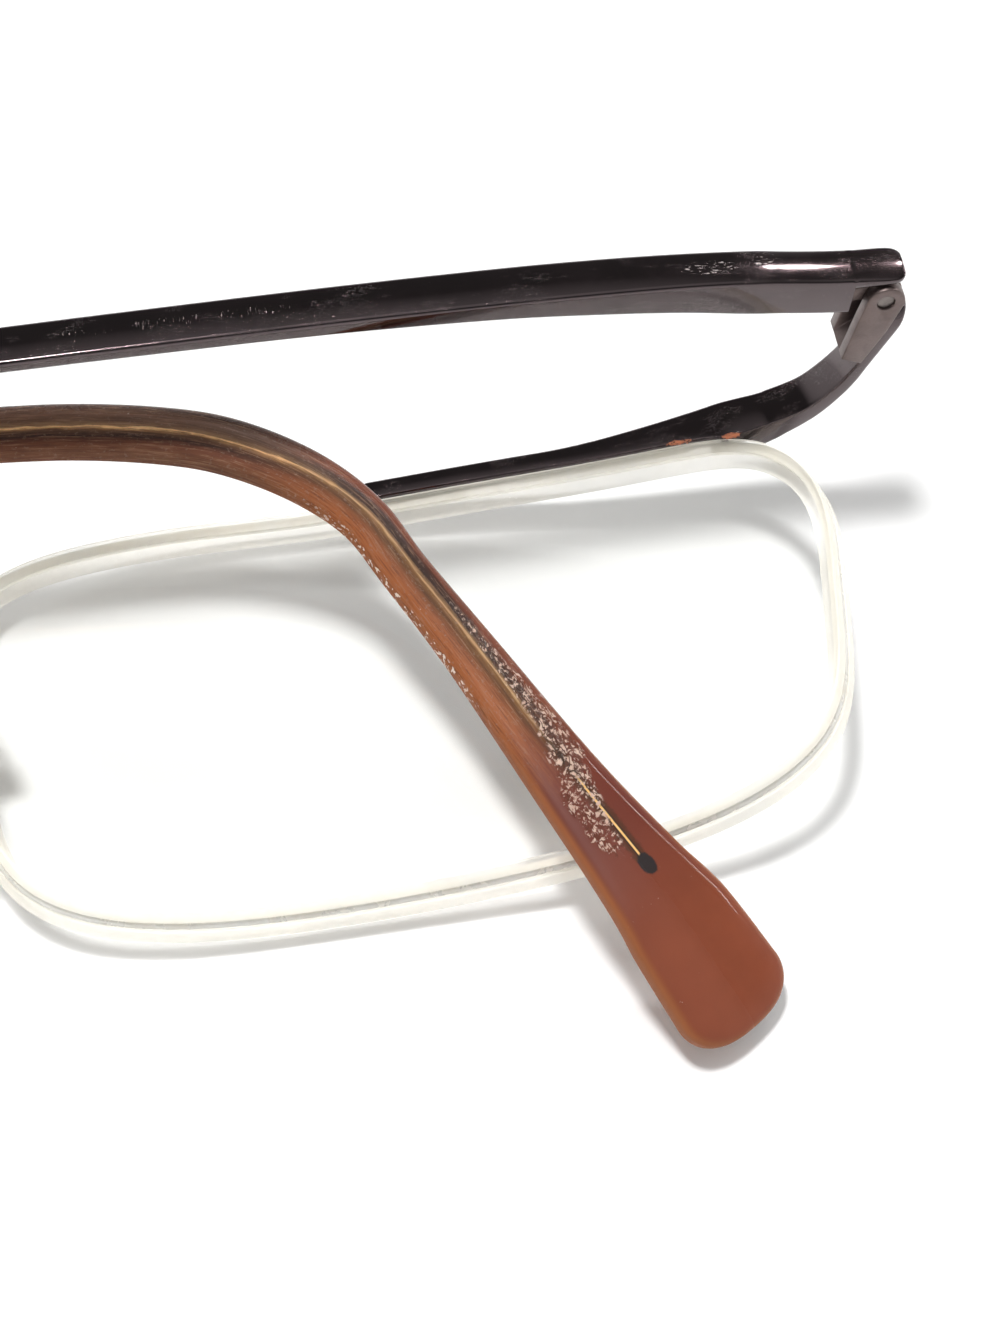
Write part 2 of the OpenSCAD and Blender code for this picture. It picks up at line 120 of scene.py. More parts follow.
def soften(corners: Sequence[Vector], cuts: Sequence[float], steps: int = 4) -> Ring:
    """Rounds the corners of a closed polygon.

    Args:
        corners: The polygon's corners in order.
        cuts: How far from each corner its round starts.
        steps: How many steps each round has.

    Returns:
        A ring with steps + 1 points for each corner.
    """
    ring = []
    for i, corner in enumerate(corners):
        before, after = corners[i - 1], corners[(i + 1) % len(corners)]
        start = corner + (before - corner).normalized() * cuts[i]
        stop = corner + (after - corner).normalized() * cuts[i]
        for k in range(steps + 1):
            u = k / steps
            ring.append(start * (1 - u) ** 2 + corner * 2 * u * (1 - u) + stop * u * u)
    return ring


def ramp(value: float, low: float, high: float) -> float:
    """A smooth rise from 0 at low to 1 at high."""
    u = min(max((value - low) / (high - low), 0.0), 1.0)
    return u * u * (3 - 2 * u)


def table(value: float, points: Sequence[tuple[float, float]]) -> float:
    """A value read from straight lines between (position, value) points."""
    if value <= points[0][0]:
        return points[0][1]
    for (x0, y0), (x1, y1) in zip(points, points[1:]):
        if value <= x1:
            return y0 + (y1 - y0) * (value - x0) / (x1 - x0)
    return points[-1][1]


def frames(line: Sequence[Vector], upright: Vector) -> list[tuple[Vector, Vector, Vector]]:
    """The place, side and up directions at each point of a line.

    Args:
        line: Points whose first three numbers are a place.
        upright: The direction that up stays close to.

    Returns:
        One (place, side, up) for each point.
    """
    places = [Vector(p[:3]) for p in line]
    last = len(places) - 1
    out = []
    for i, place in enumerate(places):
        along = (places[min(i + 1, last)] - places[max(i - 1, 0)]).normalized()
        up = (upright - along * along.dot(upright)).normalized()
        out.append((place, up.cross(along), up))
    return out


def lengths(points: Sequence[Vector]) -> list[float]:
    """How far along a line each of its points is."""
    run = [0.0]
    for a, b in zip(points, points[1:]):
        run.append(run[-1] + (b - a).length)
    return run


def even(run: Sequence[float], steps: int) -> list[int]:
    """Which points of a line divide it into equal steps, from how far along they are."""
    out, i = [], 0
    for k in range(steps + 1):
        while i < len(run) - 1 and run[i] < run[-1] * k / steps:
            i += 1
        out.append(i)
    return out


def circle(count: int) -> list[float]:
    """Evenly spaced angles round a circle, in radians."""
    return [math.tau * i / count for i in range(count)]


def tube(line: Sequence[Vector], upright: Vector, radius: float, count: int) -> list[Ring]:
    """The rings of a round wire along a line."""
    return [[place + side * radius * math.cos(k) + up * radius * math.sin(k) for k in circle(count)]
            for place, side, up in frames(line, upright)]


def mirrored(points: Iterable[Vector]) -> Ring:
    """Points on the other side of the middle plane."""
    return [Vector((-p.x, p.y, p.z)) for p in points]


# --- skins ------------------------------------------------------------------


class Skin:
    """A closed skin that is pulled from ring to ring, with each point's place on the piece."""

    def __init__(self) -> None:
        """Starts with an empty mesh."""
        self.bm = bmesh.new()
        self.place = self.bm.verts.layers.float_vector.new("place")
        self.flake = self.bm.verts.layers.float.new("flake")

    def pull(
        self,
        rings: Sequence[Ring],
        places: Sequence[Ring] | None = None,
        flakes: Sequence[Sequence[float]] | None = None,
        first: End = End.FLAT,
        last: End = End.FLAT,
        materials: Sequence[int] | None = None,
    ) -> None:
        """Adds a closed tube of rings that all have as many points.

        Args:
            rings: The points of each ring, in millimetres.
            places: Where each point is along, across and up on the piece.
            flakes: How far each point stands in a flaked patch, from 0 to 1.
            first: How the first ring is closed.
            last: How the last ring is closed.
            materials: The material index of each band between two rings.
        """
        materials = materials or [0] * len(rings)
        loop = first_loop = list(bmesh.ops.create_circle(self.bm, segments=len(rings[0]), radius=1.0)["verts"])
        self._put(loop, rings, places, flakes, 0)
        for i in range(1, len(rings)):
            fresh = set(self._grow(loop, materials[i - 1]))
            loop = [next(e.other_vert(v) for e in v.link_edges if e.other_vert(v) in fresh) for v in loop]
            self._put(loop, rings, places, flakes, i)
        self._close(first_loop, first, materials[0])
        self._close(loop, last, materials[-1])

    def _edges(self, loop: list) -> list:
        """The edges between a loop's points."""
        return [next(e for e in a.link_edges if e.other_vert(a) is b) for a, b in zip(loop, loop[1:] + loop[:1])]

    def _grow(self, loop: list, material: int) -> list:
        """Extrudes a loop with a material and gives the new points."""
        grown = bmesh.ops.extrude_edge_only(self.bm, edges=self._edges(loop))["geom"]
        for face in (g for g in grown if isinstance(g, bmesh.types.BMFace)):
            face.material_index = material
        return [g for g in grown if isinstance(g, bmesh.types.BMVert)]

    def _put(self, loop: list, rings: Sequence[Ring], places: Sequence[Ring] | None,
             flakes: Sequence[Sequence[float]] | None, i: int) -> None:
        """Moves a loop of points to ring i and notes their places."""
        for k, vert in enumerate(loop):
            vert.co = rings[i][k]
            vert[self.place] = places[i][k] if places else rings[i][k]
            vert[self.flake] = flakes[i][k] if flakes else 0.0

    def _close(self, loop: list, end: End, material: int) -> None:
        """Closes a loop with one face, or with a fan round its middle."""
        if end is End.FLAT:
            for face in bmesh.ops.contextual_create(self.bm, geom=self._edges(loop))["faces"]:
                face.material_index = material
            return
        middle = sum((v.co for v in loop), Vector()) / len(loop)
        spot = sum((Vector(v[self.place]) for v in loop), Vector()) / len(loop)
        fresh = self._grow(loop, material)
        for vert in fresh:
            vert[self.place] = spot
        bmesh.ops.pointmerge(self.bm, verts=fresh, merge_co=middle)

    def piece(self, name: str, matrix: Matrix, finishes: Sequence[Material]) -> Object:
        """Places the skin, turns its faces outwards and makes it an object.

        Args:
            name: The piece's name.
            matrix: From millimetres on the piece to metres in the frame.
            finishes: The materials of its slots.

        Returns:
            The new object, linked to the scene.
        """
        bmesh.ops.transform(self.bm, matrix=matrix, verts=self.bm.verts)
        bmesh.ops.recalc_face_normals(self.bm, faces=self.bm.faces)
        for face in self.bm.faces:
            face.smooth = True
        mesh = bpy.data.meshes.new(name)
        self.bm.to_mesh(mesh)
        self.bm.free()
        mesh.set_sharp_from_angle(angle=SHARP_ANGLE)
        obj = bpy.data.objects.new(name, mesh)
        bpy.context.scene.collection.objects.link(obj)
        for finish in finishes:
            mesh.materials.append(finish)
        return obj


def pulled(name: str, rings: Sequence[Ring], matrix: Matrix, *finishes: Material, **how: object) -> Object:
    """A piece of one skin.

    Args:
        name: The piece's name.
        rings: The skin's rings, in millimetres.
        matrix: From millimetres on the piece to metres in the frame.
        finishes: The materials of its slots.
        how: The other arguments of Skin.pull.

    Returns:
        The new object.
    """
    skin = Skin()
    skin.pull(rings, **how)
    return skin.piece(name, matrix, finishes)


def combine(whole: Object, other: Object, operation: str) -> None:
    """Adds an object to another or cuts it out, and uses it up."""
    change = whole.modifiers.new("combine", "BOOLEAN")
    change.operation, change.solver, change.object = operation, "EXACT", other
    graph = bpy.context.evaluated_depsgraph_get()
    mesh = bpy.data.meshes.new_from_object(whole.evaluated_get(graph), preserve_all_data_layers=True, depsgraph=graph)
    whole.modifiers.clear()
    whole.data = mesh
    bpy.data.objects.remove(other)


def joined(name: str, parts: Sequence[Object]) -> Object:
    """One closed object from overlapping ones.

    Args:
        name: The new object's name.
        parts: The objects, which are used up.

    Returns:
        The first object, with the others joined to it.
    """
    whole = parts[0]
    whole.name = name
    for other in parts[1:]:
        combine(whole, other, "UNION")
    whole.data.set_sharp_from_angle(angle=SHARP_ANGLE)
    return whole


def attach(obj: Object, body: str, node: str) -> None:
    """Makes a piece ride on a body and stand for a CAD node."""
    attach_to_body(obj, body)
    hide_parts(node)
    log.info("%s: %d faces on %s", obj.name, len(obj.data.polygons), body)


def bevelled_copy(node: str, width: float, finish: Material) -> Object:
    """A CAD node's shape with its sharp edges rounded.

    Args:
        node: The CAD node's name.
        width: The width of the rounded edges, in millimetres.
        finish: The piece's material.

    Returns:
        The new object.
    """
    same_point, flat, sharp = 0.002 * MM, math.radians(2), math.radians(40)
    skin = Skin()
    bm = skin.bm
    bm.from_mesh(frame["nodes"][node].data)
    bmesh.ops.remove_doubles(bm, verts=bm.verts, dist=same_point)
    bmesh.ops.dissolve_limit(bm, angle_limit=flat, verts=bm.verts, edges=bm.edges)
    edges = [e for e in bm.edges if len(e.link_faces) == 2 and e.calc_face_angle(0.0) > sharp]
    bmesh.ops.bevel(bm, geom=edges, offset=width * MM, segments=2, profile=0.5, affect="EDGES",
                    material=-1, clamp_overlap=True)
    return skin.piece(f"{node}_finished", Matrix.Identity(4), [finish])


# --- shader nodes -----------------------------------------------------------


class Tree:
    """A short way to write a node tree."""

    def __init__(self, tree: bpy.types.NodeTree) -> None:
        """Takes a node tree to add to."""
        self.tree = tree

    def add(self, kind: str, inputs: dict[str | int, object] | None = None, **settings: object) -> Node:
        """Adds a node.

        Args:
            kind: The node's type.
            inputs: Values or sockets for its inputs, by name or number.
            settings: The node's own properties.

        Returns:
            The new node.
        """
        node = self.tree.nodes.new(kind)
        for key, value in settings.items():
            setattr(node, key, value)
        self.fill(node, inputs or {})
        return node

    def fill(self, node: Node, inputs: dict[str | int, object]) -> None:
        """Feeds values or sockets to a node's inputs, by name or number."""
        for key, value in inputs.items():
            self.feed(node.inputs[key], value)

    def feed(self, target: Socket, value: object) -> None:
        """Links a socket to an input, or sets the input's value."""
        if isinstance(value, bpy.types.NodeSocket):
            self.tree.links.new(value, target)
        elif value is not None:
            if target.type == "RGBA" and len(value) == 3:
                value = (*value, 1.0)
            target.default_value = value

    def math(self, operation: str, a: object, b: object = None, c: object = None, clamp: bool = False) -> Socket:
        """A maths node's result."""
        return self.add("ShaderNodeMath", {0: a, 1: b, 2: c}, operation=operation, use_clamp=clamp).outputs[0]

    def vector(self, operation: str, a: object, b: object = None, output: int | str = 0) -> Socket:
        """A vector maths node's result."""
        return self.add("ShaderNodeVectorMath", {0: a, 1: b}, operation=operation).outputs[output]

    def times(self, first: object, *factors: object) -> object:
        """A value times each of the factors."""
        for factor in factors:
            first = self.math("MULTIPLY", first, factor)
        return first

    def line(self, value: object, slope: object, start: object) -> Socket:
        """A value times a slope, plus a start."""
        return self.math("MULTIPLY_ADD", value, slope, start)

    def less(self, value: object, take: object) -> Socket:
        """A value with another one taken away."""
        return self.math("SUBTRACT", value, take)

    def apart(self, value: Socket, middle: float) -> Socket:
        """How far a value is from a middle one, on either side."""
        return self.math("ABSOLUTE", self.less(value, middle))

    def most(self, first: object, *others: object) -> object:
        """The greatest of several values."""
        for other in others:
            first = self.math("MAXIMUM", first, other)
        return first

    def rise(self, value: object, low: float, high: float) -> Socket:
        """A smooth rise from 0 at low to 1 at high, or a fall where high is the lower."""
        start, stop = (1.0, 0.0) if high < low else (0.0, 1.0)
        inputs = {0: value, 1: min(low, high), 2: max(low, high), 3: start, 4: stop}
        return self.add("ShaderNodeMapRange", inputs, interpolation_type="SMOOTHSTEP").outputs[0]

    def mix(self, share: object, a: object, b: object) -> Socket:
        """A mix of two colours."""
        return self.add("ShaderNodeMix", {0: share, 6: a, 7: b}, data_type="RGBA").outputs[2]

    def over(self, colour: object, paint: object, *masks: object) -> Socket:
        """A colour with another one laid over it, as far as the product of the masks."""
        return self.mix(self.times(*masks), colour, paint)

    def blend(self, share: object, a: object, b: object) -> Socket:
        """A mix of two numbers."""
        return self.add("ShaderNodeMix", {0: share, 2: a, 3: b}, data_type="FLOAT").outputs[0]

    def noise(self, where: Socket, scale: object, detail: float = 3.0, rough: float = 0.55,
              warp: float = 0.0, stretch: Numbers | None = None) -> Socket:
        """A noise texture's value, centred on one half, with the place stretched first if asked."""
        if stretch:
            where = self.stretched(where, stretch)
        inputs = {"Vector": where, "Scale": scale, "Detail": detail, "Roughness": rough, "Distortion": warp}
        return self.add("ShaderNodeTexNoise", inputs).outputs[0]

    def stretched(self, where: Socket, factors: Numbers) -> Socket:
        """A place with each of its numbers times a factor."""
        return self.vector("MULTIPLY", where, tuple(factors))

    def parts(self, where: Socket) -> tuple[Socket, ...]:
        """The three numbers of a place."""
        return tuple(self.add("ShaderNodeSeparateXYZ", {0: where}).outputs)

    def attribute(self, name: str, output: str) -> Socket:
        """An attribute of the mesh."""
        return self.add("ShaderNodeAttribute", attribute_name=name, attribute_type="GEOMETRY").outputs[output]

    def on_piece(self) -> Socket:
        """The place along, across and up on the piece, in millimetres."""
        return self.attribute("place", "Vector")

    def in_frame(self) -> Socket:
        """The place in the frame, in millimetres."""
        return self.stretched(self.add("ShaderNodeTexCoord").outputs["Object"], (1 / MM,) * 3)

    def ramp(self, value: Socket, stops: Sequence[tuple[float, Numbers]], low: float = 0.0,
             high: float = 1.0) -> Socket:
        """Colours along a value between low and high."""
        share = self.add("ShaderNodeMapRange", {0: value, 1: low, 2: high}).outputs[0]
        node = self.add("ShaderNodeValToRGB", {0: share})
        bar = node.color_ramp
        for i, (at, colour) in enumerate(stops):
            spot = (at - low) / (high - low)
            element = bar.elements[i] if i < 2 else bar.elements.new(spot)
            element.position = spot
            element.color = (*colour, 1.0)
        return node.outputs[0]

    def group(self, build: Callable[[], bpy.types.NodeTree], **inputs: object) -> Node:
        """Places a shared group with its own values."""
        return self.add("ShaderNodeGroup", inputs, node_tree=build())

    def spots(self, place: Socket, marks: Iterable["Spot"]) -> object:
        """The joined mask of several ragged spots."""
        nodes = [self.group(spot_group, Place=place, Middle=m.middle, Radii=m.radii, Ragged=m.ragged) for m in marks]
        return self.most(0.0, *(node.outputs[0] for node in nodes))

    def hairs(self, place: Socket, stretch: Numbers, scale: float, width: float, amount: float) -> Socket:
        """The mask of fine scratches."""
        place = self.stretched(place, stretch)
        return self.group(scratch_group, Place=place, Scale=scale, Width=width, Amount=amount).outputs[0]

    def bump(self, shader: Node, height: Socket, depth: float) -> None:
        """Feeds a height, in shares of a depth in millimetres, to the shader's normal."""
        node = self.add("ShaderNodeBump", {"Strength": 1.0, "Distance": depth * MM, "Height": height})
        self.feed(shader.inputs["Normal"], node.outputs[0])


VECTOR, NUMBER = "NodeSocketVector", "NodeSocketFloat"
Given = dict[str, Socket]


def shared(name: str, inputs: dict[str, str], outputs: Sequence[str],
           build: Callable[[Tree, Given], Given]) -> bpy.types.NodeTree:
    """A shader node group, built once.

    Args:
        name: The group's name.
        inputs: The name and socket type of each input.
        outputs: The name of each output, which is a number.
        build: Makes the nodes from the inputs and returns the outputs.

    Returns:
        The group's node tree.
    """
    if name in bpy.data.node_groups:
        return bpy.data.node_groups[name]
    group = bpy.data.node_groups.new(name, "ShaderNodeTree")
    for label, kind in inputs.items():
        group.interface.new_socket(name=label, in_out="INPUT", socket_type=kind)
    for label in outputs:
        group.interface.new_socket(name=label, in_out="OUTPUT", socket_type=NUMBER)
    tree = Tree(group)
    entry = tree.add("NodeGroupInput")
    results = build(tree, {label: entry.outputs[label] for label in inputs})
    tree.add("NodeGroupOutput", results)
    return group


def spot_group() -> bpy.types.NodeTree:
    """A ragged spot on a surface: its middle, its radii and how ragged its edge is."""

    def build(tree: Tree, given: Given) -> Given:
        """Measures the distance from the middle in radii, with noise added."""
        offset = tree.vector("SUBTRACT", given["Place"], given["Middle"])
        length = tree.vector("LENGTH", tree.vector("DIVIDE", offset, given["Radii"]), output="Value")
        grain = tree.noise(given["Place"], 4.0, 4.0, 0.65)
        ragged = tree.line(tree.less(grain, 0.5), given["Ragged"], length)
        return {"Mask": tree.rise(ragged, 1.1, 0.85)}

    inputs = {"Place": VECTOR, "Middle": VECTOR, "Radii": VECTOR, "Ragged": NUMBER}
    return shared("ragged_spot", inputs, ["Mask"], build)


def scratch_group() -> bpy.types.NodeTree:
    """Fine scratches that run across a stretched noise."""

    def build(tree: Tree, given: Given) -> Given:
        """Keeps the thin lines where a warped noise passes through its middle value."""
        line = tree.apart(tree.noise(given["Place"], given["Scale"], 2.0, 0.5, 0.6), 0.5)
        thin = tree.math("SUBTRACT", 1.0, tree.math("DIVIDE", line, given["Width"]), clamp=True)
        here = tree.rise(tree.noise(given["Place"], 0.35, 2.0), 0.5, 0.62)
        return {"Mask": tree.times(thin, here, given["Amount"])}

    inputs = {"Place": VECTOR, "Scale": NUMBER, "Width": NUMBER, "Amount": NUMBER}
    return shared("fine_scratches", inputs, ["Mask"], build)


def film_group() -> bpy.types.NodeTree:
    """A thin uneven film of skin grease and dust."""

    def build(tree: Tree, given: Given) -> Given:
        """Mixes broad smears with fine specks."""
        smear = tree.noise(given["Place"], given["Scale"], 5.0, 0.6, 0.8)
        speck = tree.noise(given["Place"], tree.times(given["Scale"], 14.0), 2.0)
        return {"Smear": tree.rise(smear, 0.38, 0.68), "Speck": tree.rise(speck, 0.66, 0.74)}

    return shared("handling_film", {"Place": VECTOR, "Scale": NUMBER}, ["Smear", "Speck"], build)


# --- finishes ---------------------------------------------------------------


@dataclass(frozen=True)
class Spot:
    """A mark on a piece: its middle and radii along, across and up, in millimetres."""

    middle: Numbers
    radii: Numbers
    ragged: float = 1.0


@dataclass(frozen=True)
class Finish:
    """What all finishes share: a material with one Principled shader."""

    name: str

    def make(self) -> Material:
        """Builds the material."""
        material = bpy.data.materials.new(self.name)
        material.use_nodes = True
        self.shade(Tree(material.node_tree), material.node_tree.nodes["Principled BSDF"])
        return material

    def shade(self, tree: Tree, shader: Node) -> None:
        """Feeds the shader. Each finish has its own."""
        raise NotImplementedError


@dataclass(frozen=True)
class Lacquer(Finish):
    """Gloss lacquer over metal, scratched, chipped to copper, and with painted glints."""

    dark: Numbers = (0.055, 0.039, 0.041)
    copper: Numbers = (0.80, 0.30, 0.17)
    # pale is the colour of the scratches and scuffs, and of the painted glints.
    pale: Numbers = (0.80, 0.70, 0.68)
    dust: Numbers = (0.45, 0.42, 0.38)
    chips: tuple[Spot, ...] = ()
    scuffs: tuple[Spot, ...] = ()
    ticks: tuple[Spot, ...] = ()
    # Pale spots painted as glints; the bump also sinks them a little.
    painted_glints: tuple[Spot, ...] = ()
    rough: float = 0.11
    coat: float = 0.8
    depth: float = 0.04

    def shade(self, tree: Tree, shader: Node) -> None:
        """Lays the wear and the painted glints over the lacquer and takes its coat off there."""
        place = tree.on_piece()
        grit = tree.rise(tree.noise(place, 2.6, 5.0, 0.7, stretch=(1.0, 3.2, 3.2)), 0.56, 0.63)
        dash = tree.rise(tree.noise(place, 1.7, 3.0, 0.6, stretch=(7.0, 1.0, 1.0)), 0.60, 0.68)
        patch = tree.rise(tree.noise(place, 0.6, 2.0), 0.38, 0.55)
        scuffed = tree.times(tree.spots(place, self.scuffs), grit)
        ticked = tree.times(tree.spots(place, self.ticks), tree.times(dash, patch))
        # The mask of scuffs, ticks and painted glints, all laid on in the pale colour.
        worn = tree.most(scuffed, tree.times(ticked, 0.7), tree.spots(place, self.painted_glints))
        hair = tree.hairs(place, (0.9, 2.4, 2.4), scale=2.6, width=0.012, amount=0.5)
        chipped = tree.spots(place, self.chips)
        bare = tree.most(worn, chipped)
        film = tree.group(film_group, Place=place, Scale=0.5)
        colour = tree.mix(tree.noise(place, 0.25, 3.0), self.dark, tuple(c * 1.5 for c in self.dark))
        colour = tree.over(colour, self.copper, chipped)
        colour = tree.over(colour, self.pale, worn)
        colour = tree.over(colour, self.pale, hair, 0.25)
        colour = tree.over(colour, self.dust, film.outputs["Speck"], 0.08)
        tree.fill(shader, {
            "Base Color": colour,
            "Metallic": 1.0,
            "Roughness": tree.line(bare, 0.25, tree.line(film.outputs["Smear"], 0.05, self.rough)),
            "Coat Roughness": 0.05,
            "Coat Weight": tree.less(self.coat, tree.times(bare, self.coat)),
        })
        tree.bump(shader, tree.line(bare, -1.0, tree.times(hair, -0.3)), self.depth)


@dataclass(frozen=True)
class BareMetal(Finish):
    """Satin metal with fine grain, dirt and handling marks."""

    colour: Numbers
    dirt: Numbers
    metallic: float = 0.9
    rough: float = 0.32
    depth: float = 0.012

    def shade(self, tree: Tree, shader: Node) -> None:
        """Lays dirt over the metal."""
        place = tree.in_frame()
        film = tree.group(film_group, Place=place, Scale=0.9)
        grain = tree.noise(place, 9.0, 3.0, 0.6)
        colour = tree.over(self.colour, self.dirt, film.outputs["Smear"], 0.45)
        tree.fill(shader, {
            "Base Color": tree.over(colour, self.dirt, film.outputs["Speck"], 0.5),
            "Metallic": self.metallic,
            "Roughness": tree.line(grain, 0.25, self.rough - 0.12),
        })
        tree.bump(shader, grain, self.depth)


@dataclass(frozen=True)
class ClearGlass(Finish):
    """A polished lens that lets the lamps through, with a few scratches."""

    tint: Numbers = (0.985, 0.99, 0.985)
    shade_tint: Numbers = (0.99, 0.992, 0.985)

    def shade(self, tree: Tree, shader: Node) -> None:
        """Makes clear glass, which is plainly see-through to the lamps' rays."""
        hair = tree.hairs(tree.on_piece(), (0.6, 0.9, 0.9), scale=1.1, width=0.0035, amount=0.6)
        tree.fill(shader, {"Base Color": self.tint, "Transmission Weight": 1.0, "IOR": 1.5,
                           "Roughness": tree.times(hair, 0.5)})
        path = tree.add("ShaderNodeLightPath")
        through = tree.add("ShaderNodeBsdfTransparent", {0: self.shade_tint})
        lamps = tree.most(path.outputs["Is Shadow Ray"], path.outputs["Is Diffuse Ray"])
        both = tree.add("ShaderNodeMixShader", {0: lamps, 1: shader.outputs[0], 2: through.outputs[0]})
        tree.feed(tree.tree.nodes["Material Output"].inputs["Surface"], both.outputs[0])


@dataclass(frozen=True)
class GroundEdge(Finish):
    """The lens's ground edge: pale, frosted, a little dirty, and with a painted glow."""

    colour: Numbers = (0.99, 0.95, 0.85)
    grey: Numbers = (0.91, 0.89, 0.82)
    cover: float = 0.42
    painted_glow: float = 0.18
    depth: float = 0.01

    def shade(self, tree: Tree, shader: Node) -> None:
        """Makes the edge cloudy, with a painted glow that stands in for light carried through the lens."""
        place = tree.on_piece()
        cloud = tree.noise(place, 0.28, 4.0)
        colour = tree.mix(tree.rise(cloud, 0.42, 0.7), self.colour, self.grey)
        grind = tree.noise(place, 9.0, 3.0)
        tree.fill(shader, {
            "Base Color": colour,
            "Alpha": tree.line(tree.rise(cloud, 0.3, 0.65), 0.10, self.cover),
            # Painted glow: the edge emits a share of its own colour.
            "Emission Color": tree.mix(self.painted_glow, BLACK, colour),
            "Emission Strength": 1.0,
            "Roughness": tree.line(grind, 0.3, 0.35),
        })
        tree.bump(shader, grind, self.depth)


@dataclass(frozen=True)
class Moulded(Finish):
    """Clear or milky moulded plastic or silicone with a soft surface."""

    colour: Numbers
    stain: Numbers
    transmission: float = 0.4
    rough: float = 0.3
    depth: float = 0.015

    def shade(self, tree: Tree, shader: Node) -> None:
        """Stains the plastic where it has been handled."""
        place = tree.in_frame()
        smear = tree.group(film_group, Place=place, Scale=0.35).outputs["Smear"]
        tree.fill(shader, {
            "Base Color": tree.over(self.colour, self.stain, smear, 0.6),
            "Transmission Weight": self.transmission,
            "IOR": 1.45,
            "Roughness": tree.line(smear, 0.15, self.rough),
        })
        tree.bump(shader, tree.noise(place, 6.0, 3.0), self.depth)


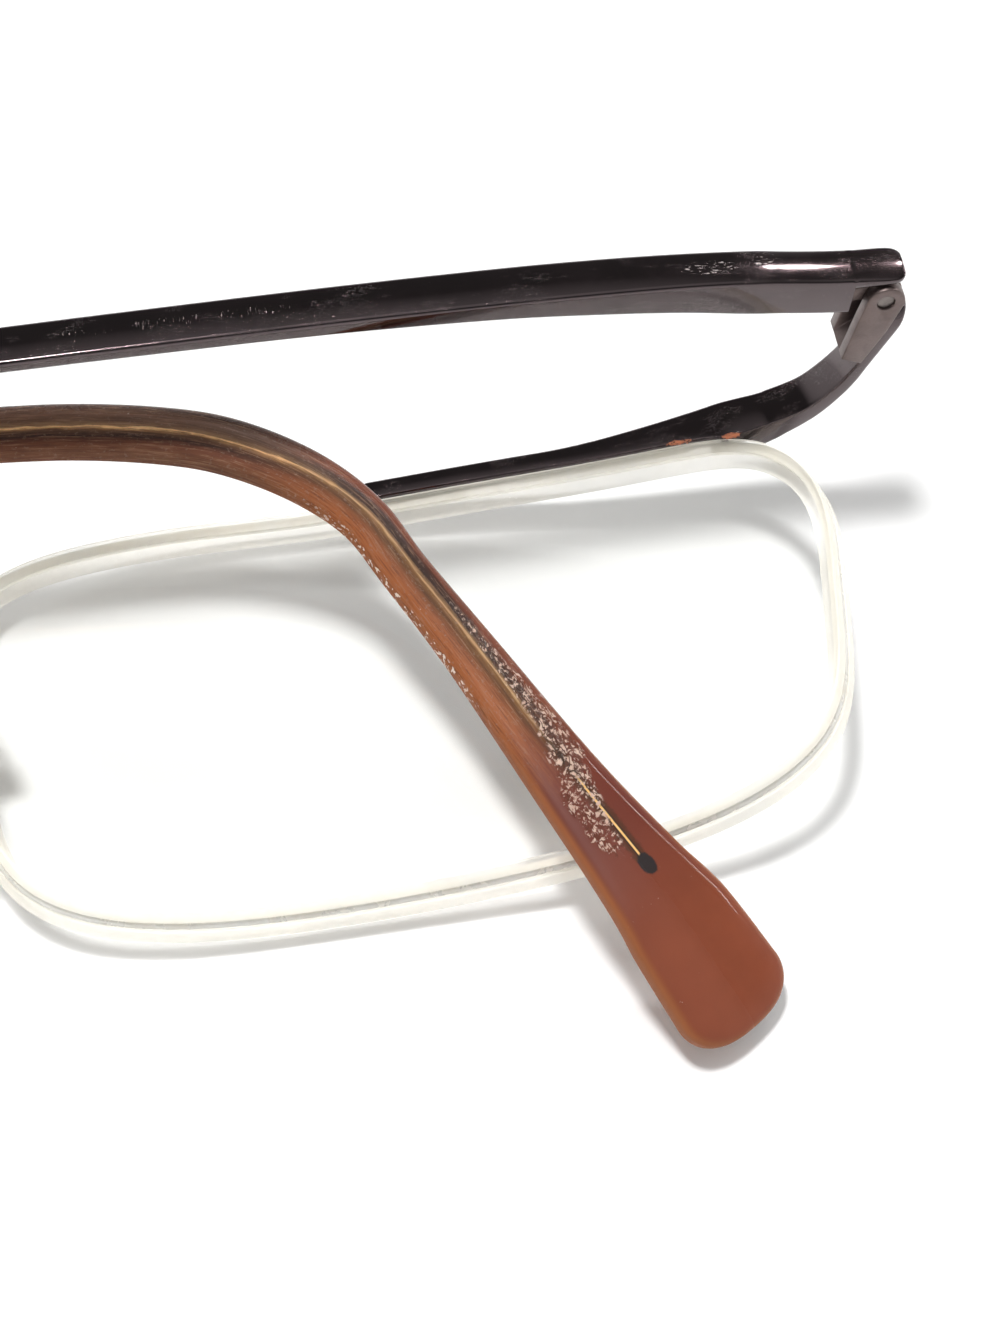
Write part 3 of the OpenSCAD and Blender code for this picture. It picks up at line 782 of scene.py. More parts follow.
@dataclass(frozen=True)
class TipPlastic(Finish):
    """Translucent red-brown plastic over a core wire, crazed and flaked where it has aged."""

    body: Numbers = (0.235, 0.064, 0.033)
    # Orange edge colour: a painted glow where light comes through the thin plastic at the sides.
    edge: Numbers = (0.31, 0.105, 0.040)
    wire_from: float = 47.0
    wire_to: float = 53.9
    wire_across: float = 0.15
    depth: float = 0.06

    def neck(self, tree: Tree, off: Socket, streaks: Socket) -> Socket:
        """The colours across the neck, where the wire fills most of the plastic, with a painted highlight along the
        wire.
        """
        return tree.ramp(tree.line(streaks, 0.6, tree.less(off, 0.3)), [
            (-2.4, (0.30, 0.17, 0.11)), (-1.5, (0.17, 0.075, 0.043)), (-1.0, (0.15, 0.055, 0.031)),
            (-0.6, (0.045, 0.022, 0.017)), (-0.25, (0.13, 0.062, 0.034)), (-0.11, (0.38, 0.20, 0.085)),
            # The bright stop at 0.0 is a painted highlight along the top of the wire.
            (0.0, (0.98, 0.58, 0.27)), (0.11, (0.30, 0.17, 0.085)), (0.5, (0.15, 0.075, 0.045)),
            (1.0, (0.20, 0.11, 0.075)), (1.55, (0.060, 0.030, 0.022)),
        ], -2.5, 1.6)

    def shank(self, tree: Tree, off: Socket, streaks: Socket) -> Socket:
        """The colours across the straight part, with the wire a little off its middle, a painted highlight along the
        wire and a painted glow along the left edge.
        """
        return tree.ramp(tree.line(streaks, 0.3, tree.less(off, 0.15)), [
            # The orange stops at -2.6 and -1.3 are a painted glow along the left edge.
            (-2.6, self.edge), (-1.3, (0.33, 0.105, 0.038)), (-0.8, (0.23, 0.078, 0.032)),
            # The pale stop at -0.05 is a painted highlight along the top of the wire.
            (-0.45, (0.13, 0.062, 0.030)), (-0.16, (0.22, 0.11, 0.05)), (-0.05, (0.55, 0.35, 0.18)),
            (0.04, (0.26, 0.15, 0.08)), (0.18, (0.050, 0.036, 0.032)), (0.6, (0.070, 0.042, 0.036)),
            (0.85, (0.18, 0.056, 0.033)), (1.3, (0.20, 0.058, 0.032)), (2.4, (0.15, 0.043, 0.025)),
        ], -2.7, 2.5)

    def wire(self, tree: Tree, place: Socket, colour: Socket) -> Socket:
        """Adds the wire's channel past the crazing, with a painted highlight along it and its dark end."""
        along, across, _ = tree.parts(place)
        channel = tree.apart(across, self.wire_across)
        fray = tree.line(tree.less(tree.noise(place, 2.4, 4.0, 0.7), 0.5), 0.7, channel)
        length = tree.times(tree.rise(along, 43.0, 46.5), tree.rise(along, self.wire_to + 0.3, self.wire_to - 0.2))
        colour = tree.over(colour, (0.085, 0.038, 0.024), tree.rise(fray, 0.55, 0.28), length, 0.85)
        colour = tree.over(colour, (0.050, 0.032, 0.024), tree.rise(channel, 0.20, 0.14), length, 0.9)
        # Painted highlight along the top of the bared wire.
        painted_wire_glint = tree.mix(tree.noise(place, 1.0, 3.0, stretch=(1.2, 0.0, 0.0)), (0.75, 0.36, 0.08), (0.90, 0.66, 0.32))
        bared = tree.rise(along, self.wire_from, self.wire_from + 1.5)
        colour = tree.over(colour, painted_wire_glint, tree.rise(channel, 0.085, 0.045), length, bared)
        hole = Spot((self.wire_to, 0.17, 1.0), (0.66, 0.50, 2.0), 0.5)
        return tree.over(colour, (0.035, 0.028, 0.028), tree.spots(place, [hole]))

    def damage(self, tree: Tree, place: Socket, flake: Socket, colour: Socket) -> Socket:
        """Adds the crazed skin, the nicks in the edge that is handled most, and the chips."""
        along, across, up = tree.parts(place)
        cover = tree.rise(tree.math("ABSOLUTE", flake), 0.06, 0.45)
        grain = tree.noise(place, 2.9, 4.0, 0.62, 0.5, stretch=(1.0, 1.2, 0.4))
        grain = tree.line(cover, 0.05, grain)
        tone = tree.mix(tree.noise(place, 1.6, 3.0, 0.6), (0.36, 0.18, 0.13), (0.84, 0.66, 0.54))
        colour = tree.over(colour, (0.11, 0.042, 0.026), cover, tree.rise(grain, 0.52, 0.44), 0.8)
        colour = tree.over(colour, tone, cover, tree.rise(grain, 0.51, 0.62))
        bevel = tree.times(tree.rise(across, -1.0, -1.2), tree.rise(up, 0.5, 0.35), tree.rise(up, -0.95, -0.8))
        here = tree.times(tree.rise(along, 21.0, 29.0), tree.rise(along, 43.0, 38.0))
        bite = tree.rise(tree.noise(place, 3.0, 2.0, 0.5, stretch=(1.0, 1.3, 1.3)), 0.57, 0.62)
        colour = tree.over(colour, (0.90, 0.78, 0.68), bevel, here, bite, 0.85)
        speck = tree.rise(tree.noise(place, 2.1, 3.0, 0.6), 0.72, 0.76)
        return tree.over(colour, (0.70, 0.55, 0.45), speck, 0.5)

    def flat_end(self, tree: Tree, place: Socket) -> Socket:
        """The flat end's plain plastic, with a painted glow below its top face and painted shade underneath, towards
        the right.
        """
        along, across, up = tree.parts(place)
        dull, bright = (tuple(c * share for c in self.body) for share in (0.88, 1.14))
        body = tree.mix(tree.noise(place, 0.35, 4.0, 0.6), dull, bright)
        body = tree.over(body, (0.155, 0.043, 0.030), tree.rise(along, 59.0, 50.0))
        # Painted glow: the edge colour below the top face.
        body = tree.over(body, self.edge, tree.rise(up, 0.78, 0.5))
        # Painted shade on the underside and the right-hand side wall.
        return tree.over(body, (0.075, 0.032, 0.020), tree.rise(up, 0.42, 0.0), tree.rise(across, -1.2, 0.6), 0.9)

    def aged_neck(self, tree: Tree, place: Socket, streaks: Socket) -> Socket:
        """The streaked and flecked plastic round the wire, from the shaft to the flat end."""
        along, across, _ = tree.parts(place)
        wander = tree.less(tree.noise(place, 1.0, 1.0, stretch=(0.12, 0.0, 0.0)), 0.5)
        centre = tree.line(wander, 0.3, tree.blend(tree.rise(along, 16.0, 32.0), -0.40, 0.16))
        off = tree.less(across, centre)
        colour = tree.mix(tree.rise(along, 17.0, 27.0), self.neck(tree, off, streaks), self.shank(tree, off, streaks))
        lines = tree.noise(place, 1.9, 4.0, 0.65, stretch=(0.25, 5.0, 5.0))
        colour = tree.over(colour, (0.36, 0.20, 0.125), tree.rise(lines, 0.52, 0.66), 0.45)
        colour = tree.over(colour, (0.075, 0.035, 0.024), tree.rise(lines, 0.48, 0.36), 0.5)
        fleck = tree.rise(tree.noise(place, 3.4, 4.0, 0.7, stretch=(1.0, 1.6, 1.0)), 0.56, 0.66)
        return tree.over(colour, (0.30, 0.20, 0.15), fleck, 0.35)

    def shade(self, tree: Tree, shader: Node) -> None:
        """Joins the neck and the flat end along a ragged border, and adds wire and damage."""
        place, flake = tree.on_piece(), tree.attribute("flake", "Fac")
        along, across, _ = tree.parts(place)
        streaks = tree.noise(place, 1.6, 5.0, 0.7, stretch=(0.35, 3.0, 1.0))
        border = tree.rise(tree.line(tree.less(streaks, 0.5), 6.0, along), 42.0, 49.0)
        colour = tree.mix(border, self.aged_neck(tree, place, streaks), self.flat_end(tree, place))
        colour = self.damage(tree, place, flake, self.wire(tree, place, colour))
        smear = tree.group(film_group, Place=place, Scale=0.4).outputs["Smear"]
        worn = tree.times(tree.rise(along, 46.0, 20.0), 0.20)
        handled = tree.times(tree.rise(across, 0.8, -1.2), 0.45)
        cracked = tree.rise(tree.math("ABSOLUTE", flake), 0.05, 0.4)
        rough = tree.math("ADD", tree.math("ADD", tree.line(smear, 0.03, 0.06), worn), handled)
        tree.fill(shader, {
            "Base Color": colour,
            "Roughness": tree.line(cracked, 0.2, rough),
            "IOR": 1.5,
            "Specular IOR Level": 0.16,
            "Subsurface Weight": 0.12,
            "Subsurface Radius": (1.0, 0.35, 0.15),
            "Subsurface Scale": 0.8 * MM,
        })
        fine = tree.noise(place, 4.6, 5.0, 0.7, stretch=(1.0, 1.6, 1.6))
        tree.bump(shader, tree.times(fine, tree.math("ADD", worn, cracked)), self.depth)


# --- the front --------------------------------------------------------------


@dataclass(frozen=True)
class Front:
    """Sizes of the front in millimetres, from the middle of the right lens."""

    lens_w: float = 53.3
    lens_up: float = 14.6
    lens_down: float = 14.3
    lens_t: float = 2.7
    bridge_gap: float = 18.4
    base_r: float = 84.3
    crown_off: float = 7.0
    square: tuple[float, float, float, float] = (3.1, 3.6, 4.4, 4.4)
    lean: tuple[float, float] = (0.14, 0.12)
    rise: float = 0.012
    brow: tuple[float, float, float] = (0.9, 35.0, 105.0)
    cord_d: float = 0.6
    hinge_up: float = 12.9
    left_fold: float = 5.5
    fineness: int = 4000

    @property
    def lens_x(self) -> float:
        """The lens's middle from the middle plane."""
        return (self.bridge_gap + self.lens_w) / 2

    @property
    def joint(self) -> list[float]:
        """The right hinge's place in the frame."""
        return next([v / MM for v in j["pos_m"]] for j in frame["joints"] if j["name"] == "right_temple_hinge")

    @property
    def hinge(self) -> Vector:
        """The right hinge's axis, with Y from the lens's middle."""
        return Vector((self.joint[0], self.hinge_up, self.joint[2]))

    @property
    def lens_y(self) -> float:
        """The lens's middle in the frame."""
        return self.joint[1] - self.hinge_up

    def outline(self, angle: float) -> Vector:
        """A point of the lens's outline, with +x outwards."""
        c, s = math.cos(math.radians(angle)), math.sin(math.radians(angle))
        up_out, up_in, down_in, down_out = self.square
        power = (up_out if c > 0 else up_in) if s > 0 else (down_out if c > 0 else down_in)
        x = self.lens_w / 2 * math.copysign(abs(c) ** (2 / power), c)
        y = (self.lens_up if s > 0 else self.lens_down) * math.copysign(abs(s) ** (2 / power), s)
        lean = self.lean[0] if c > 0 else -self.lean[1]
        depth, start, stop = self.brow
        way = min(max((angle % 360 - start) / (stop - start), 0.0), 1.0)
        flat = depth * math.sin(math.pi * way) ** 2
        return Vector((x + lean * y * abs(x) / (self.lens_w / 2), y + self.rise * x - flat))

    def normal(self, angle: float) -> Vector:
        """The outline's outward direction."""
        way = self.outline(angle + 0.5) - self.outline(angle - 0.5)
        return Vector((way.y, -way.x)).normalized()

    def edge(self, angle: float, out: float, deep: float, scale: float = 1.0) -> Vector:
        """A point near the lens's edge.

        Args:
            angle: Where round the outline, in degrees.
            out: How far out from the edge.
            deep: How deep behind the lens's front surface.
            scale: A share of the outline.

        Returns:
            The point, with X from the middle plane and Y from the lens's middle.
        """
        flat = self.outline(angle) * scale + self.normal(angle) * out
        across = flat.x + self.crown_off
        front = Vector((flat.x, flat.y, self.base_r - math.sqrt(self.base_r**2 - across**2 - flat.y**2)))
        centre = Vector((-self.crown_off, 0.0, self.base_r))
        return front + (centre - front) * deep / self.base_r + Vector((self.lens_x, 0.0, 0.0))

    def angles(self, start: float, stop: float, gap: float) -> list[float]:
        """Angles whose points are evenly spaced along the outline.

        Args:
            start: The first angle.
            stop: The last angle.
            gap: About how far apart the points are, in millimetres.

        Returns:
            The angles, both ends included.
        """
        count = self.fineness
        fine = [start + (stop - start) * i / count for i in range(count + 1)]
        run = lengths([self.outline(a) for a in fine])
        return [fine[i] for i in even(run, max(round(run[-1] / gap), 1))]

    def beside(self, side: Side) -> Matrix:
        """From millimetres on the right half of the front to metres on a side."""
        return Matrix.Diagonal((side.value * MM, MM, MM, 1.0)) @ Matrix.Translation((0, self.lens_y, 0))

    def on_hinge(self, side: Side) -> Matrix:
        """From millimetres along a temple's run to metres, folded at rest."""
        sign = -1 if side is Side.RIGHT else 1
        turn = self.left_fold if side is Side.LEFT else 0.0
        shift = Matrix.Translation((-self.hinge.x, self.hinge.y + self.lens_y, self.hinge.z))
        return Matrix.Diagonal((sign * MM, MM, MM, 1.0)) @ shift @ Matrix.Rotation(math.radians(turn), 4, "Y")


@dataclass
class Lens:
    """A lens with a polished front and back, a ground edge, and the cord in its groove."""

    front: Front
    side: Side
    bevel: float = 0.15
    spacing: float = 0.45
    shares: Numbers = (0.03, 0.12, 0.24, 0.36, 0.48, 0.6, 0.7, 0.8, 0.87)
    frosted: Numbers = (1.25, 0.9, 0.6, 0.35)
    slack: float = 0.1
    cord_from: float = 85.0
    cord_to: float = 410.0
    cord_around: int = 14

    def build(self, glass: Material, ground: Material, nylon: Material) -> None:
        """Makes the lens and its cord."""
        f = self.front
        low = f.lens_t / 2 - (f.cord_d + self.slack) / 2
        high = f.lens_t - low
        depth = f.cord_d + 0.02
        lip, wall, part = 0.06, 0.03, self.bevel * 0.3
        rim = [(-self.bevel, 0.0), (-part, part), (0.0, self.bevel), (0.0, low - lip), (-lip, low),
               (-depth, low + wall), (-depth, high - wall), (-lip, high), (0.0, high + lip),
               (0.0, f.lens_t - self.bevel), (-part, f.lens_t - part), (-self.bevel, f.lens_t)]
        profile = [(q, 0.0, 0.0) for q in self.shares]
        profile += [(1.0, -q, 0.0) for q in self.frosted]
        profile += [(1.0, out, deep) for out, deep in rim]
        profile += [(1.0, -self.frosted[1], f.lens_t)]
        profile += [(q, 0.0, f.lens_t) for q in reversed(self.shares)]
        angles = f.angles(0.0, 360.0, self.spacing)[:-1]
        rings = [[f.edge(a, out, deep, share) for a in angles] for share, out, deep in profile]
        first = len(self.shares)
        last = first + len(self.frosted) + len(rim) - 1
        bands = [1 if first <= i < last else 0 for i in range(len(profile) - 1)]
        node = self.side.node("lens")
        lens = pulled(f"{node}_ground", rings, f.beside(self.side), glass, ground,
                      first=End.POINT, last=End.POINT, materials=bands)
        attach(lens, "front", node)
        self.cord(nylon)

    def cord(self, nylon: Material) -> None:
        """Makes the nylon cord, round the lens from one end of the half rim to the other."""
        f = self.front
        r = f.cord_d / 2
        rings = [[f.edge(a, -r + r * math.cos(k), f.lens_t / 2 - r * math.sin(k)) for k in circle(self.cord_around)]
                 for a in f.angles(self.cord_from, self.cord_to, 0.5)]
        node = self.side.node("retaining_cord")
        attach(pulled(f"{node}_line", rings, f.beside(self.side), nylon), "front", node)


@dataclass
class HalfRim:
    """The half rim over the lens's upper outer edge, and its end piece that bends back to the hinge."""

    front: Front
    side: Side
    width: float = 1.1
    gap: float = 0.05
    near: float = 0.3
    least: float = 0.9
    edge: float = 0.2
    end_h: float = 2.6
    end_t: float = 0.8
    cap: float = 0.55
    steps: int = 5

    @property
    def far(self) -> float:
        """How deep behind the lens's front the rim reaches."""
        return self.front.lens_t + 0.17

    @property
    def end_from(self) -> Vector:
        """Where the end piece's straight part starts, in x and z."""
        return Vector((self.front.hinge.x - 0.9, self.front.hinge.z - 5.8))

    @property
    def end_to(self) -> Vector:
        """Where the end piece ends, in x and z."""
        return Vector((self.front.hinge.x + 1.3, self.front.hinge.z - 1.4))

    def top(self, x: float) -> float:
        """The half rim's upper edge at so far along X."""
        f = self.front
        u = min(max((x - f.lens_x) / (self.end_from.x - 6.8 - f.lens_x), 0.0), 1.0)
        free = f.edge(90.0, self.gap, self.far).y + self.width
        level = f.hinge_up + self.end_h / 2
        return free + (level - free) * math.sin(math.pi / 2 * u)

    def over_lens(self, angle: float) -> list[Vector]:
        """The four corners of the rim over the lens edge."""
        front = self.front.edge(angle, self.gap, self.near)
        back = self.front.edge(angle, self.gap, self.far)
        high = max(self.top(front.x), front.y + self.least)
        return [front, Vector((front.x, high, front.z)), Vector((back.x, high, back.z)), back]

    def on_end(self, middle: Vector, half: Vector, half_h: float) -> list[Vector]:
        """The four corners of the end piece round a point in x and z."""
        low, high = self.front.hinge_up - half_h, self.front.hinge_up + half_h
        a, b = middle - half, middle + half
        return [Vector((a.x, low, a.y)), Vector((a.x, high, a.y)), Vector((b.x, high, b.y)), Vector((b.x, low, b.y))]

    def corners(self) -> list[list[Vector]]:
        """The rim's four corners from its free end to its end at the hinge."""
        start, stop = self.end_from, self.end_to
        run = (stop - start).length
        way = (stop - start) / run
        inward = Vector((-way.y, way.x))
        line = smooth([(start.x - 5.3, start.y - 5.1, 1.8), (start.x - 2.8, start.y - 3.7, 1.2),
                       (start.x - 0.95, start.y - 1.65, 0.95), (start.x, start.y, self.end_t)], 3)
        line += [Vector((*(start + way * r), self.end_t)) for r in (0.5, run - self.end_h / 2)]
        keys = [self.over_lens(a) for a in range(90, 44, -5)]
        for i, q in enumerate(line):
            a, b = line[max(i - 1, 0)], line[min(i + 1, len(line) - 1)]
            along = way if i > len(line) - 3 else (b.xy - a.xy).normalized()
            keys.append(self.on_end(q.xy, Vector((-along.y, along.x)) * q.z / 2, self.end_h / 2))
        tracks = [smooth([key[c] for key in keys], self.steps) for c in range(4)]
        body = [list(key) for key in zip(*tracks)]
        for a in (math.radians(q) for q in range(12, 88, 12)):
            at = start + way * (run - self.end_h / 2 * (1 - math.sin(a)))
            body.append(self.on_end(at, inward * self.end_t / 2, self.end_h / 2 * math.cos(a)))
        return body

    def build(self, lacquer: Material) -> None:
        """Makes the half rim with its end piece."""
        rings = []
        for key in self.corners():
            cut = min(self.edge, (key[3] - key[0]).length / 3, (key[1] - key[0]).length / 3)
            rings.append(soften(key, [cut] * 4, 3))
        first = rings[0]
        middle = sum(first, Vector()) / len(first)
        caps = []
        for a in (math.radians(q) for q in (78, 60, 40, 20)):
            squeeze, onward = math.cos(a) ** 0.7, self.cap * math.sin(a)
            caps.append([Vector((p.x - onward, middle.y + (p.y - middle.y) * squeeze,
                                 middle.z + (p.z - middle.z) * squeeze)) for p in first])
        node = self.side.node("half_rim")
        band = pulled(f"{node}_band", caps + rings, self.front.beside(self.side), lacquer)
        attach(band, "front", node)


@dataclass
class Bridge:
    """The bridge's arch, brazed to a holder at the inner edge of each lens."""

    front: Front
    width: float = 1.15
    gap: float = 0.05
    edge: float = 0.2
    arch_r: float = 0.85
    arch_around: int = 28

    def holder(self) -> list[Ring]:
        """The rings of the right lens's holder."""
        f = self.front
        low, high = 0.5, f.lens_t - 0.3
        angles = (160, 160.6, 162, 165, 170, 175, 178, 179.4, 180)
        shares = (0.6, 0.75, 0.9, 1, 1, 1, 0.9, 0.75, 0.6)
        rings = []
        for angle, share in zip(angles, shares):
            out = self.gap + self.width * share
            sides = ((self.gap, low), (out, low), (out, high), (self.gap, high))
            rings.append(soften([f.edge(angle, *side) for side in sides], [self.edge] * 4, 3))
        return rings

    def build(self, lacquer: Material) -> None:
        """Makes the bridge of one arch and two holders."""
        f = self.front
        end = f.edge(165, self.width * 0.6, f.lens_t / 2)
        half = [end, end + Vector((-1.9, 1.0, -0.3)), Vector((end.x * 0.4, end.y + 2.0, end.z - 0.9))]
        keys = half + [Vector((0, end.y + 2.3, end.z - 1.1))] + mirrored(reversed(half))
        arch = tube(smooth(keys, 10), UP, self.arch_r, self.arch_around)
        holder = self.holder()
        shapes = (arch, holder, [mirrored(ring) for ring in holder])
        parts = [pulled(f"bridge_part_{i}", rings, f.beside(Side.RIGHT), lacquer) for i, rings in enumerate(shapes)]
        attach(joined("bridge_brazed", parts), "front", "bridge")


# --- the temples ------------------------------------------------------------


@dataclass
class Temple:
    """A temple's flat shaft, which turns into the core wire of its ear tip."""

    front: Front
    side: Side
    thick: float = 2.8
    high: float = 2.8
    wire_r: float = 0.62
    tip_t: float = 2.0
    tip_w: float = 7.6
    tip_neck: float = 3.5
    tip_round: float = 2.4
    pocket: tuple[float, float] = (1.9, 1.3)
    lift: float = 100.0
    around: int = 128
    spacing: float = 0.2
    seed: float = 3.0
    crazed: float = 1.0

    def shaft(self) -> list[Vector]:
        """Stations of the shaft: run, drop, rise of the outer face, thickness, height."""
        t, h = self.thick, self.high
        return smooth([
            (-1, 0, 1.72, t, h - 1.1), (-0.4, 0, 1.8, t, h - 0.2), (2, 0, 2.07, t, h - 0.2),
            (4, 0, 2.35, t, h - 0.2), (6, 0, 2.7, t, h - 0.2), (8, 0, 3.05, t, h - 0.15),
            (12, 0, 3.5, 2.4, h - 0.1), (17, 0, 3.85, 1.95, h), (23, 0, 4.1, 1.5, h + 0.05),
            (33, 0, 4.3, 1.15, h + 0.05), (44, 0, 4.35, 1, h + 0.05), (54, 0, 4.35, 0.95, h),
            (64, 0, 4.5, 0.9, h - 0.15), (74, 0, 4.7, 0.9, h - 0.3), (80, 0, 4.7, 0.9, h - 0.5)], 10)

    def tip_line(self) -> list[tuple[float, float, float, float]]:
        """Stations of the ear tip's middle: run, drop, rise, width."""
        n, w = self.tip_neck, self.tip_w
        return [(76, 0, 4.25, n), (84, 0, 4.1, n + 0.1), (90, -0.4, 3.6, n + 0.2), (94, -1.3, 3.1, n + 0.2),
                (98, -3.2, 2.3, n), (101, -5.9, 1.6, n - 0.4), (103, -9.5, 0.9, n - 0.55), (106, -15.1, 0.2, n - 0.2),
                (110.2, -23.8, -0.6, w * 0.58), (113.4, -29.5, -1.6, w * 0.75), (115.4, -32.3, -3, w * 0.92),
                (117.9, -35.8, -5.4, w)]

    def metal(self, lacquer: Material) -> None:
        """Makes the shaft and its wire, open on the inside where the knuckles turn."""
        rings, places = [], []

        def add(place: Vector, side: Vector, up: Vector, section: Ring, run: float) -> None:
            """Adds a section. Its places are lifted, so that the temple's wear isn't the rim's."""
            rings.append([place + side * q.x + up * q.y for q in section])
            places.append([Vector((run, q.x, q.y + self.lift)) for q in section])

        def flat(low: float, top: float, half: float) -> Ring:
            """The shaft's section between two levels, with a low ridge along its outer face."""
            cut, shoulder = min(0.25, (top - low) / 3), top - 0.08
            sides = ((0, top), (-half, shoulder), (-half, low), (half, low), (half, shoulder))
            return soften([Vector((*side, 0)) for side in sides], [0.35, cut, cut, cut, cut], 4)

        stations = self.shaft()
        pocket_end, pocket_top = self.pocket
        line = [Vector((run, drop, rise - thick / 2)) for run, drop, rise, thick, _ in stations]
        for (run, _, _, thick, high), (place, side, up) in zip(stations, frames(line, UP)):
            in_pocket = run < pocket_end
            if in_pocket or places[-1][0].x < pocket_end:
                start = run if in_pocket else run - 0.001
                add(place, side, up, flat(pocket_top - place.z, thick / 2, high / 2), start)
            if not in_pocket:
                add(place, side, up, flat(-thick / 2, thick / 2, high / 2), run)
        count = len(rings[0])
        turns = [math.radians(90 + 360 * (i + 0.5) / count - 36) for i in range(count)]
        wire = [Vector((math.cos(k), math.sin(k))) * self.wire_r for k in turns]
        for place, side, up in frames(smooth([p[:3] for p in self.tip_line()[1:10]], 8), UP):
            add(place, side, up, wire, place.x)
        node = self.side.node("temple")
        shaft = pulled(f"{node}_shaft", rings, self.front.on_hinge(self.side), lacquer, places=places)
        attach(shaft, node, node)

    def crazing(self, along: float, across: float) -> tuple[float, float]:
        """How the crazed skin stands at a point of the outer face.

        Args:
            along: How far along the tip.
            across: How far from its middle line.

        Returns:
            The skin's rise in millimetres, and its flake value: above 0 on a flake, below 0 in a crack.
        """
        middle = table(along, [(34, 0.5), (44, 0.75), (46.5, 0.45), (49, -0.45), (51, -0.8), (54, -0.7)])
        reach = table(along, [(30, 0.12), (38, 0.35), (43, 0.7), (46.5, 1.1), (50, 1.05), (52, 0.6), (53.5, 0.2)])
        ragged = 0.35 * noise.noise(Vector((along * 1.1, across * 1.1, self.seed)))
        near = 1 - ramp(abs(across - middle) / reach + ragged, 0.65, 1.15)
        cover = near * ramp(along, 31, 42) * (1 - ramp(along, 51.5, 53.5)) * self.crazed
        near_by = noise.voronoi(Vector((along * 2.4, across * 3.1, self.seed)))[0]
        crack = ramp(near_by[1] - near_by[0], 0.03, 0.25)
        lift = 0.5 + 0.5 * noise.noise(Vector((along * 1.7, across * 2.3, self.seed + 7)))
        curl = 0.5 + 0.5 * noise.noise(Vector((along * 6.0, across * 6.0, self.seed + 3)))
        flake = cover * (crack * ramp(lift, 0.3, 0.6) - 0.8 * (1 - crack))
        rise = cover * (0.11 * crack * lift + 0.05 * curl - 0.07)
        return rise, flake

    def tip(self, plastic: Material) -> None:
        """Makes the ear tip, crazed on its outer face."""
        dense = smooth(self.tip_line(), 40)
        run = lengths([p.xyz for p in dense])
        body = [(dense[k].xyz, dense[k].w, self.tip_t, run[k]) for k in even(run, round(run[-1] / self.spacing))]
        stop = body[-1][0]
        way = (stop - body[-2][0]).normalized()
        for a in (math.radians(q) for q in range(4, 90, 4)):
            onward, share = self.tip_round * math.sin(a), math.cos(a) ** 0.7
            body.append((stop + way * onward, self.tip_w * share, self.tip_t * (0.25 + 0.75 * share),
                         run[-1] + onward))
        rings, places, flakes = [], [], []
        for (place, side, up), (_, wide, thick, along) in zip(frames([b[0] for b in body], UP), body):
            ring, spots, marks = [], [], []
            power = 0.8 - 0.03 * wide
            for turn in circle(self.around):
                c, s = math.cos(turn), math.sin(turn)
                x = wide / 2 * math.copysign(abs(c) ** power, c)
                y = thick / 2 * math.copysign(abs(s) ** power, s)
                rise, flake = self.crazing(along, x) if s > 0 and self.crazed else (0.0, 0.0)
                fade = ramp(s, 0.0, 0.35)
                ring.append(place + side * x + up * (y + rise * fade))
                spots.append(Vector((along, x, y)))
                marks.append(flake * fade)
            rings.append(ring)
            places.append(spots)
            flakes.append(marks)
        node = self.side.node("ear_tip")
        moulding = pulled(f"{node}_moulding", rings, self.front.on_hinge(self.side), plastic,
                          places=places, flakes=flakes, last=End.POINT)
        attach(moulding, self.side.node("temple"), node)


# --- nose pads --------------------------------------------------------------


